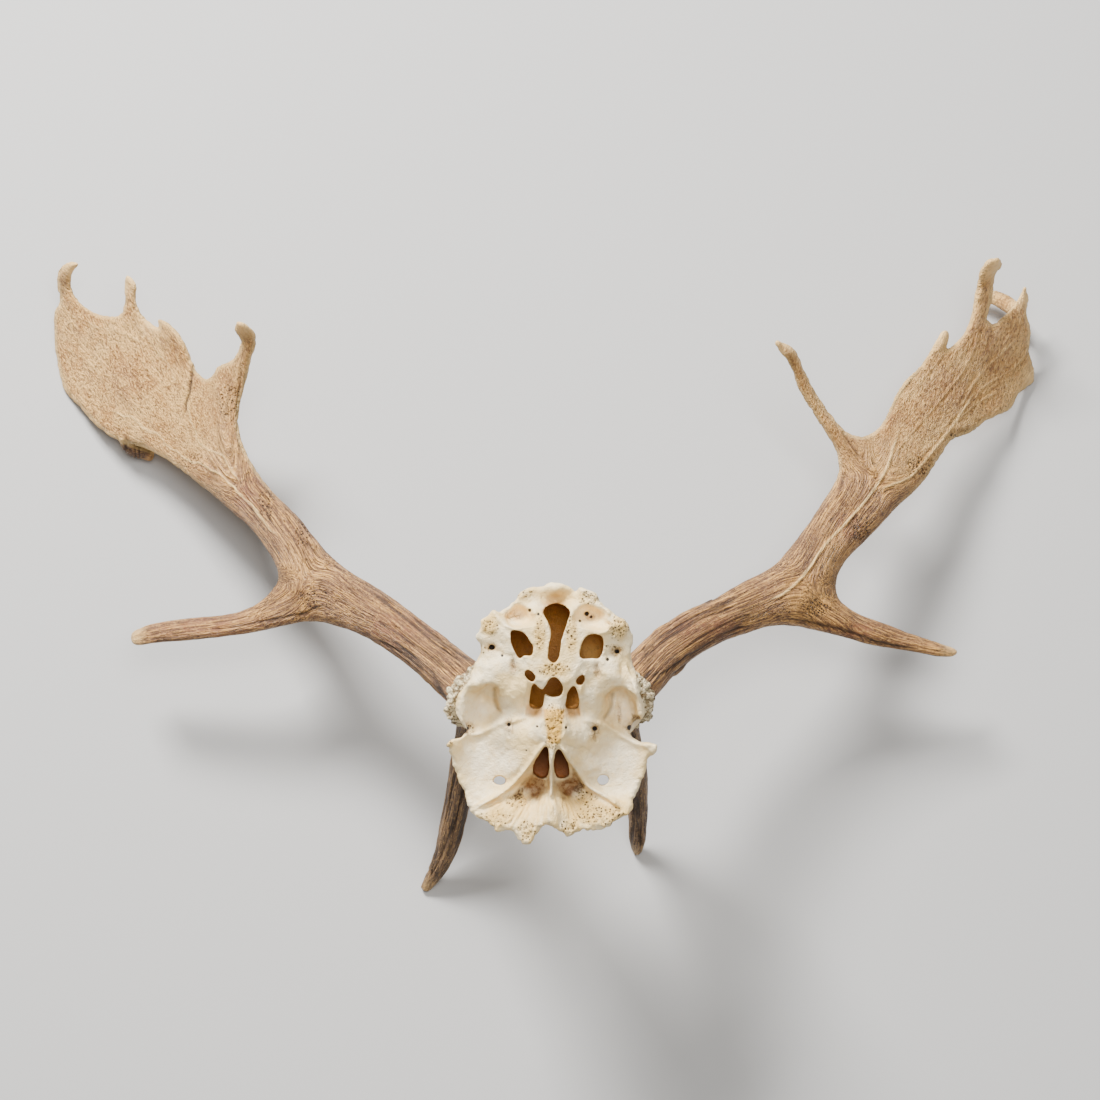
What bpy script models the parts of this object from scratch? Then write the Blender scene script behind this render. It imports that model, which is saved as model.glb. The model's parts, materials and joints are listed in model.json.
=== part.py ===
"""Fallow deer antlers grown on a sawn skull plate, lying on the tips of the brow tines and on the palms.

The shapes are drawn in the skull's own frame, in millimetres: x to the deer's right, y to the back of
its head, z out of the sawn face, which is the plane z = 0. An outline or a place is drawn as it is seen
from VIEW_DISTANCE in front of the sawn face, and true_place gives where it really is. The resting pose
then lays the whole thing on the ground.
"""

import math

import bmesh
import bpy
import numpy as np
from mathutils import Matrix, Vector

MM = 0.001

# The eye that the outlines are drawn for, in front of the sawn face and level with the back of the skull.
VIEW_DISTANCE = 2000
VIEW_Y = 90

# The pose at rest: how far the skull frame is pitched so that the tines and palms bear.
REST_PITCH = math.radians(17)

# The gap between two solids that meet at a fork, or at the foot of an antler.
GAP = 0.3

# The flat blocks as first cut out, before they are given their depth, and the grain of the solids.
ANTLER_BLOCK_HALF = 10
SKULL_BLOCK_HALF = 30
ANTLER_BLOCK_VOXEL = 1.6
ANTLER_VOXEL = 2.0
SKULL_VOXEL = 2.2
ANTLER_TRIANGLES = 2700
SKULL_TRIANGLES = 2300
SMOOTHING = 3
WELD = 1e-5

# The burr: a ring with two rows of pearls round the foot of the beam, and where the foot is cut below it.
BURR_RING = 17.5
BURR_THICKNESS = 4.8
PEARLS = 15
PEARL_RADIUS = 3.5
PEARL_ROWS = [(-2.5, 21.0), (3.0, 20.0)]
BURR_FOOT = 6

# Each antler. Stations are (x, y, depth z, edge radius, half thickness) of the flat-cut part, and a tube's
# points are (x, y, z, radius). A fork is (node, where it is cut, which way the tine goes, half width).
LEFT = {
    "side": "left",
    "outline": [
        (-60, 33.5), (-75, 45.5), (-90, 57.5), (-105, 68), (-120, 77.5), (-132, 87), (-141.5, 98),
        (-150, 108.5), (-161.5, 119.5), (-170.5, 129.5), (-178, 140.5), (-184, 152.5), (-187, 165),
        (-186, 177.5), (-183, 189), (-179.5, 204), (-176.5, 214), (-177.5, 220), (-182.5, 225.5),
        (-188, 227), (-189, 221.5), (-185.5, 216), (-187, 209), (-192, 203), (-199, 200),
        (-201.5, 195.5), (-206, 192), (-210.5, 194.5), (-215, 203), (-218.5, 212), (-223, 220),
        (-230.5, 227), (-235, 228.5), (-234.5, 223), (-241, 227), (-246.5, 233.5), (-248.5, 242),
        (-248.5, 250), (-254, 255), (-255, 252), (-255, 245.5), (-255.5, 236.5), (-258.5, 230.5),
        (-272, 232), (-279.5, 237), (-285.5, 243.5), (-287.5, 251.5), (-286, 257.5), (-282.5, 261.5),
        (-287.5, 263), (-294, 259), (-296, 251), (-294, 239.5), (-297.5, 232), (-297.5, 221.5),
        (-297, 210), (-294.5, 198), (-291.5, 187), (-279.5, 173.5), (-270, 163), (-258.5, 155.5),
        (-240, 150), (-228, 143.5), (-210, 129.5), (-192, 115), (-180, 104), (-170.5, 92), (-164, 81),
        (-162.5, 72), (-168, 63.5), (-178, 56), (-192, 51.5), (-222, 48), (-243, 44), (-251, 40),
        (-250, 33.5), (-234, 34.5), (-210, 36.5), (-186, 39.5), (-162, 44), (-144, 47), (-126, 44),
        (-102, 33), (-81, 18.5), (-71, 10),
    ],
    "stations": [
        (-66, 21.5, -105, 13, 10), (-90, 42, -126, 14, 13), (-114, 58, -145, 16, 16),
        (-135, 69, -160, 18, 17), (-150, 85, -173, 16, 16), (-162, 102, -187, 15, 15),
        (-177, 120, -201, 13, 13), (-195, 138, -216, 10, 10), (-216, 162, -234, 6, 6),
        (-240, 186, -254, 5, 5), (-264, 207, -272, 4.5, 4.5), (-283, 222, -286, 4.5, 4.5),
        (-295, 205, -300, 4.5, 4.5), (-270, 165, -276, 4.5, 4.5), (-235, 150, -250, 6, 6),
        (-215, 200, -241, 5, 5), (-245, 225, -258, 4.5, 4.5), (-293, 243, -290, 5, 5),
        (-294, 257, -280, 4.5, 4.5), (-284.5, 261.5, -268, 3.5, 3.5), (-252, 234, -260, 4.5, 4.5),
        (-252, 252, -250, 3.5, 3.5), (-188.5, 156, -212, 9, 9.5), (-186, 180, -212, 9, 9),
        (-182, 203, -206, 7.5, 7.5), (-180, 217, -196, 6, 6), (-186, 225, -184, 4.5, 5),
        (-163, 57, -170, 10, 11), (-186, 48, -172, 8, 8.5), (-216, 43, -176, 7, 7),
        (-240, 39.5, -181, 6, 6), (-249.5, 37, -185, 4.5, 4.5),
    ],
    "pedicle": [(-30, -9, -42, 22), (-37, -5, -58, 19), (-42, 0, -72, 17.5), (-46, 4, -84, 17.5)],
    "stem": [
        (-33, -6, -68, 15.5), (-44, 2.5, -82, 15.5), (-55, 12.5, -94, 15), (-67.5, 23.5, -106, 14),
        (-83, 35.5, -120, 14), (-98, 46.5, -132, 14),
    ],
    "tubes": [
        [
            (-54, 12, -97, 11.5), (-48.5, 1, -109, 12), (-46, -12, -122, 11),
            (-48.5, -26, -134, 10), (-52, -41, -146, 9.2), (-54.7, -56, -157, 8.6),
            (-57.3, -69, -167, 8.4), (-60.2, -81, -175, 7.9), (-64.6, -95, -184, 6.8),
            (-69.3, -104.5, -190, 5.4), (-75.2, -113.3, -195, 2.7),
        ],
        [(-255, 160, -264, 6), (-250, 152.5, -272, 7), (-238, 148.5, -273, 6)],
    ],
    "forks": [
        ("back_tine", (-182, 203, -206), (0.05, 0.75, 0.66), 14),
        ("palm", (-181, 125, -205), (-0.61, 0.61, -0.51), 260),
        ("trez_tine", (-173, 53, -170), (-0.97, -0.22, -0.05), 28),
        ("brow_tine", (-47, -18, -128), (0.0, -0.77, -0.64), 34),
    ],
}

RIGHT = {
    "side": "right",
    "outline": [
        (60.5, 38.5), (78.5, 50.5), (96.5, 59.8), (114, 69.5), (132, 78.7), (142, 89.2), (151, 99.7),
        (162, 116), (168.5, 126), (173, 137), (171.5, 150), (162, 166), (150, 185), (142, 203.5), (135, 213.5),
        (136, 216), (147.5, 209.5), (152.5, 199), (162, 180), (174, 164.5), (181, 159), (190, 158.5),
        (198, 164), (203, 174), (212, 190), (223, 201.5), (231, 213.5), (237, 222), (239.5, 219),
        (237.5, 210), (242.5, 213), (251.5, 225.5), (255.5, 245), (258.5, 258), (264, 264.5),
        (270.5, 265), (271, 260.5), (267, 254.5), (265, 241), (262, 228.5), (266, 225.5),
        (272.5, 230.5), (281, 240.5), (285, 248), (287, 241), (286, 231), (288.5, 222),
        (287.5, 209.5), (290.5, 192.5), (281, 184), (276, 174.5), (261.5, 167.5), (254.5, 161.5),
        (240, 155.5), (234, 146), (222, 128.5), (206, 114), (190, 97.5), (178.5, 85), (172.5, 74),
        (172.5, 62), (183.5, 52), (204, 44.3), (228, 36), (244.5, 29), (240.5, 26), (216, 29),
        (192, 33.5), (168, 40), (141, 45.3), (120, 41), (90, 28.5), (73, 14),
    ],
    "stations": [
        (67, 29, -106, 13, 10), (90, 44, -126, 14, 13), (117, 57.5, -144, 16, 16),
        (144, 66, -160, 18, 17), (162, 84, -174, 16, 16), (174, 105, -188, 14, 14),
        (189, 126, -202, 11, 12), (201, 147, -214, 9, 9), (216, 162, -226, 6, 6),
        (234, 180, -240, 5, 5), (249, 198, -252, 4.5, 4.5), (264, 213, -264, 4.5, 4.5),
        (279, 222, -278, 4.5, 4.5), (287, 195, -296, 4, 4), (262, 170, -268, 5, 5),
        (240, 158, -246, 6, 6), (212, 187, -228, 5, 5), (240, 213, -244, 4.5, 4.5),
        (283, 241, -280, 3.5, 3.5), (259, 234, -256, 5.5, 5.5), (261.5, 252, -250, 5.5, 5.5),
        (268, 262, -240, 4.5, 5), (238, 219, -240, 3, 3), (177, 150, -206, 9, 9.5),
        (171, 162, -202, 7.5, 8), (159, 177, -194, 6.5, 6.5), (150, 192, -186, 6, 6),
        (145, 205, -178, 5.5, 5.5), (137, 213.5, -168, 3, 3.5), (171, 54, -170, 11, 11),
        (192, 41, -174, 7.5, 8), (213, 34, -179, 6, 6.5), (231, 30.5, -183, 5, 5),
        (243, 28, -187, 3.5, 3.5),
    ],
    "pedicle": [(30, -9, -42, 22), (37, -5, -58, 19), (42, 0, -72, 17.5), (46, 4, -84, 17.5)],
    "stem": [
        (33, -6, -68, 15.5), (44, 3, -82, 15.5), (55.5, 14.5, -94, 15), (68.3, 27.9, -107, 14),
        (84.5, 39.7, -121, 14), (103, 49, -135, 14),
    ],
    "tubes": [
        [
            (54, 13, -97, 11.5), (47.5, 2, -110, 11.5), (44, -11, -123, 10.5),
            (46.5, -26, -138, 9.2), (50.8, -44, -156, 8), (52.3, -59, -171, 7.2),
            (52.7, -72, -184, 6.3), (52.5, -84, -195, 5.2), (52.2, -91, -202.8, 2.7),
        ],
        [(279, 234, -286, 5), (272, 239, -297, 5.2), (264, 242, -304, 4.6), (257, 241, -309, 3)],
    ],
    "forks": [
        ("back_tine", (168, 164, -201), (-0.48, 0.74, 0.47), 20),
        ("palm", (191, 125, -203), (0.58, 0.65, -0.49), 260),
        ("trez_tine", (181, 47, -172), (0.93, -0.36, -0.08), 28),
        ("brow_tine", (45.5, -18, -128), (0.0, -0.74, -0.67), 18),
    ],
}

# The skull plate's outline as seen from below.
SKULL_OUTLINE = [
    (0.5, 70.5), (-3.5, 68.5), (-14, 67), (-18.5, 64), (-21.5, 59), (-28, 54.5), (-31, 53), (-33.5, 54.5),
    (-36, 53), (-37, 51), (-41.5, 48), (-42, 42.5), (-44.5, 38.5), (-42, 33.5), (-41.5, 29.5),
    (-45.5, 21), (-49, 11), (-53.5, 1), (-53, -9.5), (-50, -17), (-53, -22), (-60, -24), (-62, -27),
    (-60, -31), (-57, -42), (-52, -53.5), (-48, -65), (-44.5, -70), (-38, -73), (-33.5, -77.5),
    (-30, -78.5), (-25, -77.5), (-21, -81), (-15, -87.5), (-10, -84.5), (-4, -75), (0.5, -75.5),
    (6.5, -79), (12, -82), (17, -78.5), (25, -78), (33.5, -76), (42, -71), (48.5, -66.5), (50, -59.5),
    (53.5, -52), (59, -38.5), (61, -33), (65, -30.5), (63, -26.5), (54, -25), (48.5, -20), (50.5, -13),
    (56, -11), (54, 3), (50.5, 19), (48, 30), (50, 36), (45.5, 47.5), (40, 50.5), (35.5, 54.5),
    (31, 57.5), (28, 63.5), (22, 66.5), (17.5, 67.5), (16, 64.5), (11, 68.5), (5.5, 70),
]

# Spot heights of the plate's underside. One above 0 is sawn off flat.
UNDERSIDE = [
    (0, 69, -12), (-14, 65, -11), (18, 65, -11), (3, 60, -8), (-24, 57, -8), (30, 56, -8),
    (-19, 50, -11), (25, 50, -11), (-6, 40, 3), (-6, 30, 3), (13, 40, 3), (12, 30, 3),
    (-18, 43, -1), (25, 41, -1), (-33, 42, -4), (37, 42, -4), (-30, 32, -5), (36, 31, -5),
    (-40, 36, -8), (45, 36, -8), (-18, 22, -3), (24, 21, -3), (0, 18, 3), (-6, 16, 3), (9, 16, 3),
    (-36, 18, -6), (39, 17, -6), (-46, 19, -13), (50, 17, -13), (-23, 6, -7), (24, 5, -7),
    (-39, -7, -26), (45, -5, -26), (-49, -3, -22), (53, -4, -16), (-23, -5, -9), (25, -5, -9),
    (-30, -17, -17), (30, -18, -17), (-14, -17, -9), (18, -17, -9), (-47, -19, -25), (46, -21, -25),
    (2, -10, 3), (2, -22, 2), (-42, -36, -27), (42, -36, -27), (-28, -36, -24), (29, -36, -24),
    (-17, -31, -14), (20, -32, -14), (-36, -52, -27), (36, -52, -27), (-27, -52, -18), (28, -52, -18),
    (-57, -34, -19), (59, -35, -19), (-60, -27, -14), (63, -28, -14), (-50, -54, -23), (54, -51, -23),
    (-43, -67, -20), (47, -65, -20), (-12, -62, -21), (-22, -67, -17), (-31, -74, -17),
    (-15, -81, -15), (1, -70, -10), (15, -65, -18), (24, -70, -16), (37, -70, -18), (12, -78, -15),
    (-7, -52, -24), (11, -52, -24), (-7, -40, -14), (9, -40, -14),
]

# Spot heights of its upper side, the forehead and the crown, which faces the ground.
UPPER_SIDE = [
    (2, 66, -46), (-22, 56, -48), (26, 56, -48), (2, 38, -74), (-24, 32, -68), (28, 32, -68),
    (-40, 30, -56), (45, 30, -56), (2, 10, -74), (-30, 4, -70), (32, 4, -70), (-48, 2, -48),
    (50, 2, -48), (2, -20, -64), (-30, -18, -58), (32, -18, -58), (2, -50, -52), (-28, -44, -43),
    (30, -44, -43), (-55, -32, -30), (58, -33, -30), (-44, -60, -32), (47, -60, -32),
    (2, -74, -32), (-26, -72, -30), (28, -72, -30), (-15, -84, -24),
]

# The brain's hollow: middle and half axes.
BRAIN_MIDDLE = (2, 25, -38)
BRAIN_HALF = (29, 31, 25)

# Openings of the underside: outline, and how deep each goes.
OPENINGS = {
    "brain_stem_slot": (
        [
            (-4, 53.5), (-0.5, 56.5), (3.5, 57.5), (8.5, 56.5), (12, 53), (10, 45.5), (7, 36),
            (5.5, 26), (2.5, 22), (-1, 24.5), (-0.5, 33), (0.5, 39.5), (-2, 47.5),
        ],
        32,
    ),
    "left_window": (
        [
            (-23, 41.5), (-16, 40.5), (-12.5, 36), (-10, 32), (-11, 26.5), (-15.5, 26.5),
            (-18, 24.5), (-21.5, 29.5), (-23.5, 35.5),
        ],
        30,
    ),
    "right_window": (
        [(23.5, 39), (30.5, 38.5), (32, 33.5), (30, 25), (24, 24.5), (18, 25), (18.5, 32), (20.5, 36.5)],
        30,
    ),
    "left_oval_hole": ([(-14.5, 17.5), (-12, 17.5), (-9, 14), (-10, 11), (-13, 12), (-15, 15)], 30),
    "right_oval_hole": ([(16, 12.5), (20, 15), (21, 12.5), (19, 9), (16, 9.5)], 30),
    "middle_hole": (
        [(-0.5, 12.5), (3, 14), (6.5, 11), (8, 6), (6, 2), (-0.5, 1.5), (-4.5, 5), (-2.5, 9.5)],
        32,
    ),
    "left_slot": ([(-10, 9.5), (-5.5, 6.5), (-3, 5.5), (-3.5, 0.5), (-5, -5), (-12, -5), (-12, 2)], 30),
    "right_slot": ([(14.5, 8.5), (17, 3), (17, -5.5), (9.5, -5.5), (10, 2), (11.5, 6)], 30),
    "left_nose_pit": (
        [(-2, -28), (-0.5, -36), (-1.5, -47.5), (-5, -49), (-10, -45.5), (-10, -40), (-6, -32)],
        34,
    ),
    "right_nose_pit": (
        [(5, -29.5), (8.5, -33), (11.5, -41), (11.5, -47.5), (7, -49), (3.5, -47.5), (2.5, -36)],
        34,
    ),
}

# The two holes right through the roofs of the orbits, drawn as seen: middle and half axes.
BROW_HOLES = [(-30.3, -48.3, 4.0, 2.9), (31.8, -48, 3.7, 3.2)]
THROUGH = 90

# The thinnest bone, and how round the plate's edge is below and above: at the face end, and at the crown.
LEAST_BONE = 6
EDGE_BELOW = 3
EDGE_ABOVE_FACE = 7
EDGE_ABOVE_CROWN = 24
CROWN_FROM, CROWN_TO = -10, 25
RIM_DEPTH = 5

# Colour and roughness of each kind of piece.
FINISHES = {
    "skull_plate": ((0.84, 0.78, 0.66, 1.0), 0.5),
    "beam": ((0.36, 0.23, 0.14, 1.0), 0.55),
    "brow_tine": ((0.24, 0.17, 0.11, 1.0), 0.55),
    "trez_tine": ((0.40, 0.27, 0.16, 1.0), 0.5),
    "palm": ((0.47, 0.34, 0.20, 1.0), 0.6),
    "back_tine": ((0.38, 0.26, 0.16, 1.0), 0.55),
}
SHARP_EDGE = math.radians(40)


def clear_scene():
    for obj in list(bpy.data.objects):
        bpy.data.objects.remove(obj)


def collection(name):
    made = bpy.data.collections.new(name)
    bpy.context.scene.collection.children.link(made)
    return made


def finish(node):
    """Gives a node its own material and smooth shading."""
    kind = next(kind for kind in FINISHES if node.name.endswith(kind))
    color, roughness = FINISHES[kind]
    material = bpy.data.materials.new(node.name)
    material.use_nodes = True
    shader = material.node_tree.nodes["Principled BSDF"]
    shader.inputs["Base Color"].default_value = color
    shader.inputs["Roughness"].default_value = roughness
    shader.inputs["Metallic"].default_value = 0.0
    node.data.materials.clear()
    node.data.materials.append(material)
    node.data.shade_smooth()
    node.data.set_sharp_from_angle(angle=SHARP_EDGE)


def true_place(x, y, z):
    """Where a point drawn as seen really is, in millimetres."""
    spread = (VIEW_DISTANCE - z) / VIEW_DISTANCE
    return Vector((x * spread, VIEW_Y + (y - VIEW_Y) * spread, z))


def as_placed(x, y, z):
    """true_place for arrays, as rows of x, y, z."""
    spread = (VIEW_DISTANCE - z) / VIEW_DISTANCE
    return np.column_stack([x * spread, VIEW_Y + (y - VIEW_Y) * spread, z])


def smooth_through(points, closed, steps):
    """A centripetal Catmull-Rom curve through points, each of any number of values."""
    points = [np.array(p, float) for p in points]
    count = len(points)
    if closed:
        ring = [points[-1], *points, points[0], points[1]]
    else:
        ring = [2 * points[0] - points[1], *points, 2 * points[-1] - points[-2]]
        count -= 1
    made = []
    for i in range(count):
        p0, p1, p2, p3 = ring[i : i + 4]
        t1 = max(np.linalg.norm(p1 - p0), 1e-6) ** 0.5
        t2 = t1 + max(np.linalg.norm(p2 - p1), 1e-6) ** 0.5
        t3 = t2 + max(np.linalg.norm(p3 - p2), 1e-6) ** 0.5
        for step in range(steps):
            t = t1 + (t2 - t1) * step / steps
            a1 = (t1 - t) / t1 * p0 + t / t1 * p1
            a2 = (t2 - t) / (t2 - t1) * p1 + (t - t1) / (t2 - t1) * p2
            a3 = (t3 - t) / (t3 - t2) * p2 + (t - t2) / (t3 - t2) * p3
            b1 = (t2 - t) / t2 * a1 + t / t2 * a2
            b2 = (t3 - t) / (t3 - t1) * a2 + (t - t1) / (t3 - t1) * a3
            made.append((t2 - t) / (t2 - t1) * b1 + (t - t1) / (t2 - t1) * b2)
    if not closed:
        made.append(points[-1])
    return np.array(made)


def thin_plate(spots):
    """The smoothest surface through spot heights (x, y, z), as a function of arrays x and y."""
    spots = np.array(spots, float)
    xy, z = spots[:, :2], spots[:, 2]

    def kernel(a, b):
        square = ((a[:, None, :] - b[None, :, :]) ** 2).sum(2)
        return square * np.log(square + 1e-9)

    count = len(xy)
    flat = np.hstack([np.ones((count, 1)), xy])
    system = np.zeros((count + 3, count + 3))
    system[:count, :count] = kernel(xy, xy)
    system[:count, count:] = flat
    system[count:, :count] = flat.T
    weights = np.linalg.solve(system, np.concatenate([z, np.zeros(3)]))

    def height(x, y):
        at = np.column_stack([x, y])
        bent = kernel(at, xy) @ weights[:count]
        return bent + weights[count] + at @ weights[count + 1 :]

    return height


def nearby_mean(spots, values, x, y):
    """Values of the spots, each counting by its nearness to x, y."""
    spots, values = np.array(spots, float), np.array(values, float)
    square = (x[:, None] - spots[:, 0]) ** 2 + (y[:, None] - spots[:, 1]) ** 2 + 4.0
    weight = square**-2
    return ((weight @ values).T / weight.sum(1)).T


def distance_to_outline(x, y, outline):
    """How far each x, y is from a closed outline."""
    start = np.array(outline)
    along = np.roll(start, -1, axis=0) - start
    length2 = np.maximum((along**2).sum(1), 1e-9)
    nearest = np.full(len(x), 1e9)
    for (sx, sy), (ax, ay), l2 in zip(start, along, length2):
        t = np.clip(((x - sx) * ax + (y - sy) * ay) / l2, 0, 1)
        nearest = np.minimum(nearest, np.hypot(x - sx - t * ax, y - sy - t * ay))
    return nearest


def roundness(distance, radius):
    """0 at an edge, rising like a quarter circle to 1 at radius inside it."""
    return np.sqrt(1 - (1 - np.clip(distance / radius, 0, 1)) ** 2)


def mesh_object(name, mesh, into):
    obj = bpy.data.objects.new(name, mesh)
    into.objects.link(obj)
    return obj


def baked(obj, into, name=None):
    """A new object with obj's evaluated mesh, welded, and obj removed."""
    bpy.context.view_layer.update()
    graph = bpy.context.evaluated_depsgraph_get()
    mesh = bpy.data.meshes.new_from_object(obj.evaluated_get(graph))
    mesh.transform(obj.matrix_world)
    name = name or obj.name
    bpy.data.objects.remove(obj)
    shape = bmesh.new()
    shape.from_mesh(mesh)
    bmesh.ops.remove_doubles(shape, verts=shape.verts, dist=WELD)
    shape.to_mesh(mesh)
    shape.free()
    return mesh_object(name, mesh, into)


def points_of(obj):
    points = np.empty(len(obj.data.vertices) * 3)
    obj.data.vertices.foreach_get("co", points)
    return points.reshape(-1, 3)


def move_points(obj, points):
    obj.data.vertices.foreach_set("co", points.ravel())
    obj.data.update()


def joined(parts, into, name):
    """One object holding the meshes of parts, which are removed."""
    shape = bmesh.new()
    for part in parts:
        shape.from_mesh(part.data)
        bpy.data.objects.remove(part)
    mesh = bpy.data.meshes.new(name)
    shape.to_mesh(mesh)
    shape.free()
    return mesh_object(name, mesh, into)


def fused(obj, into, voxel):
    """obj's shells melted into one skin of small even faces."""
    remesh = obj.modifiers.new("Melt together", "REMESH")
    remesh.mode = "VOXEL"
    remesh.voxel_size = voxel * MM
    return baked(obj, into)


def thinned(obj, into, triangles):
    """obj smoothed and thinned to about this many triangles."""
    smooth = obj.modifiers.new("Smooth", "SMOOTH")
    smooth.factor = 0.5
    smooth.iterations = SMOOTHING
    obj.modifiers.new("Triangles", "TRIANGULATE")
    obj = baked(obj, into)
    thin = obj.modifiers.new("Thin out", "DECIMATE")
    thin.ratio = triangles / len(obj.data.polygons)
    return baked(obj, into)


def outline_block(name, outline, half, into):
    """A flat block with this closed outline, half thick above and below z = 0."""
    curve = bpy.data.curves.new(name, "CURVE")
    curve.dimensions = "2D"
    curve.fill_mode = "BOTH"
    curve.extrude = half * MM
    spline = curve.splines.new("POLY")
    spline.points.add(len(outline) - 1)
    for point, (x, y) in zip(spline.points, outline):
        point.co = (x * MM, y * MM, 0, 1)
    spline.use_cyclic_u = True
    return baked(mesh_object(name, curve, into), into)


def tube(name, places, into, sides=3):
    """A round tapering rod through (x, y, z, radius), drawn as seen."""
    true = [(*true_place(x, y, z), r) for x, y, z, r in places]
    curve = bpy.data.curves.new(name, "CURVE")
    curve.dimensions = "3D"
    curve.bevel_depth = MM
    curve.bevel_resolution = sides
    curve.use_fill_caps = True
    spline = curve.splines.new("POLY")
    line = smooth_through(true, False, 3)
    spline.points.add(len(line) - 1)
    for point, (x, y, z, r) in zip(spline.points, line):
        point.co = (x * MM, y * MM, z * MM, 1)
        point.radius = r
    return baked(mesh_object(name, curve, into), into)


def antler_plate(spec, into):
    """The flat-cut part of an antler: the beam, the palm and the tines in its plane."""
    outline = smooth_through(spec["outline"], True, 3)
    block = outline_block(spec["side"] + "_plate", outline, ANTLER_BLOCK_HALF, into)
    block = fused(block, into, ANTLER_BLOCK_VOXEL)
    points = points_of(block) / MM
    x, y = points[:, 0], points[:, 1]
    stations = np.array(spec["stations"], float)
    depth = thin_plate(stations[:, :3])(x, y)
    edge, half = nearby_mean(stations[:, :2], stations[:, 3:], x, y).T
    round_off = roundness(distance_to_outline(x, y, outline), edge)
    z = depth + points[:, 2] / ANTLER_BLOCK_HALF * half * round_off
    move_points(block, as_placed(x, y, z) * MM)
    return block


def burr_axis(spec):
    """Middle of the burr, and which way the beam leaves it."""
    foot = true_place(*spec["stem"][1][:3])
    along = true_place(*spec["stem"][3][:3])
    return foot, (along - foot).normalized()


def facing(direction):
    """The turn that brings +Z to a direction."""
    return Vector(direction).to_track_quat("Z", "Y").to_matrix().to_4x4()


def burr(spec, into):
    """The ring of the burr with its pearls, as separate shells."""
    middle, axis = burr_axis(spec)
    place = Matrix.Translation(middle * MM) @ facing(axis)
    bpy.ops.mesh.primitive_torus_add(
        major_radius=BURR_RING * MM,
        minor_radius=BURR_THICKNESS * MM,
        major_segments=28,
        minor_segments=8,
    )
    ring = bpy.context.object
    ring.matrix_world = place
    parts = [ring]
    for row, (lift, out) in enumerate(PEARL_ROWS):
        for i in range(PEARLS):
            angle = 2 * math.pi * (i + 0.5 * row) / PEARLS
            size = PEARL_RADIUS * (1 + 0.25 * math.sin(5 * i + row))
            bpy.ops.mesh.primitive_ico_sphere_add(subdivisions=1, radius=size * MM)
            pearl = bpy.context.object
            at = Vector((math.cos(angle) * out, math.sin(angle) * out, lift))
            pearl.matrix_world = place @ Matrix.Translation(at * MM)
            parts.append(pearl)
    return [baked(part, into) for part in parts]


def as_cutter(obj, name, cutters):
    """Moves obj to the collection of cutters, out of the render."""
    for owner in list(obj.users_collection):
        owner.objects.unlink(obj)
    cutters.objects.link(obj)
    obj.name = name
    obj.hide_render = True
    obj.display_type = "WIRE"
    return obj


def cutter_box(name, start, direction, half_width, length, cutters):
    """A box that begins at start and runs length millimetres along direction."""
    bpy.ops.mesh.primitive_cube_add(size=1)
    box = bpy.context.object
    size = Matrix.Diagonal((2 * half_width * MM, 2 * half_width * MM, length * MM, 1))
    lift = Matrix.Translation((0, 0, length / 2 * MM))
    box.data.transform(Matrix.Translation(Vector(start) * MM) @ facing(direction) @ lift @ size)
    return as_cutter(box, name, cutters)


def boolean(obj, cutter, operation, into, name=None):
    """obj cut by a cutter, or what lies inside it."""
    modifier = obj.modifiers.new(operation.title(), "BOOLEAN")
    modifier.operation = operation
    modifier.object = cutter
    modifier.solver = "EXACT"
    return baked(obj, into, name)


def antler(spec, solids, cutters):
    """The nodes of one antler, split at its forks."""
    side = spec["side"]
    parts = [antler_plate(spec, solids), tube("stem", spec["stem"], solids, 5)]
    parts += [tube("tube", places, solids) for places in spec["tubes"]]
    parts += burr(spec, solids)
    whole = fused(joined(parts, solids, side + "_beam"), solids, ANTLER_VOXEL)
    whole = thinned(whole, solids, ANTLER_TRIANGLES)
    middle, axis = burr_axis(spec)
    foot = cutter_box(side + "_foot", middle - axis * BURR_FOOT, -axis, 40, 60, cutters)
    whole = boolean(whole, foot, "DIFFERENCE", solids)
    nodes = []
    for fork, place, direction, half_width in spec["forks"]:
        name = f"{side}_{fork}"
        at = true_place(*place)
        before = at - Vector(direction).normalized() * GAP
        take = cutter_box(name + "_take", at, direction, half_width, 400, cutters)
        leave = cutter_box(name + "_leave", before, direction, half_width + GAP, 400, cutters)
        copy = mesh_object(name, whole.data.copy(), solids)
        nodes.append(boolean(copy, take, "INTERSECT", solids, name))
        whole = boolean(whole, leave, "DIFFERENCE", solids)
    return [*nodes, whole]


def skull_block(into):
    """The skull plate as one solid between its two faces, before it is hollowed."""
    outline = smooth_through(SKULL_OUTLINE, True, 3)
    block = outline_block("skull_block", outline, SKULL_BLOCK_HALF, into)
    block = fused(block, into, SKULL_VOXEL)
    points = points_of(block) / MM
    x, y = points[:, 0], points[:, 1]
    side = points[:, 2] / SKULL_BLOCK_HALF
    below = thin_plate(UNDERSIDE)(x, y)
    above = np.minimum(thin_plate(UPPER_SIDE)(x, y), below - LEAST_BONE)
    rim = below - np.minimum(RIM_DEPTH, 0.5 * (below - above))
    reach = distance_to_outline(x, y, outline)
    crown = np.clip((y - CROWN_FROM) / (CROWN_TO - CROWN_FROM), 0, 1)
    edge_above = EDGE_ABOVE_FACE + (EDGE_ABOVE_CROWN - EDGE_ABOVE_FACE) * crown
    toward_face = rim + side * (below - rim) * roundness(reach, EDGE_BELOW)
    toward_crown = rim + side * (rim - above) * roundness(reach, edge_above)
    z = np.where(side > 0, toward_face, toward_crown)
    move_points(block, as_placed(x, y, z) * MM)
    return block


def brain_hollow(cutters):
    bpy.ops.mesh.primitive_uv_sphere_add(segments=24, ring_count=12, radius=MM)
    hollow = bpy.context.object
    hollow.data.transform(Matrix.Translation(Vector(BRAIN_MIDDLE) * MM) @ Matrix.Diagonal((*BRAIN_HALF, 1)))
    return as_cutter(hollow, "brain_hollow", cutters)


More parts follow.
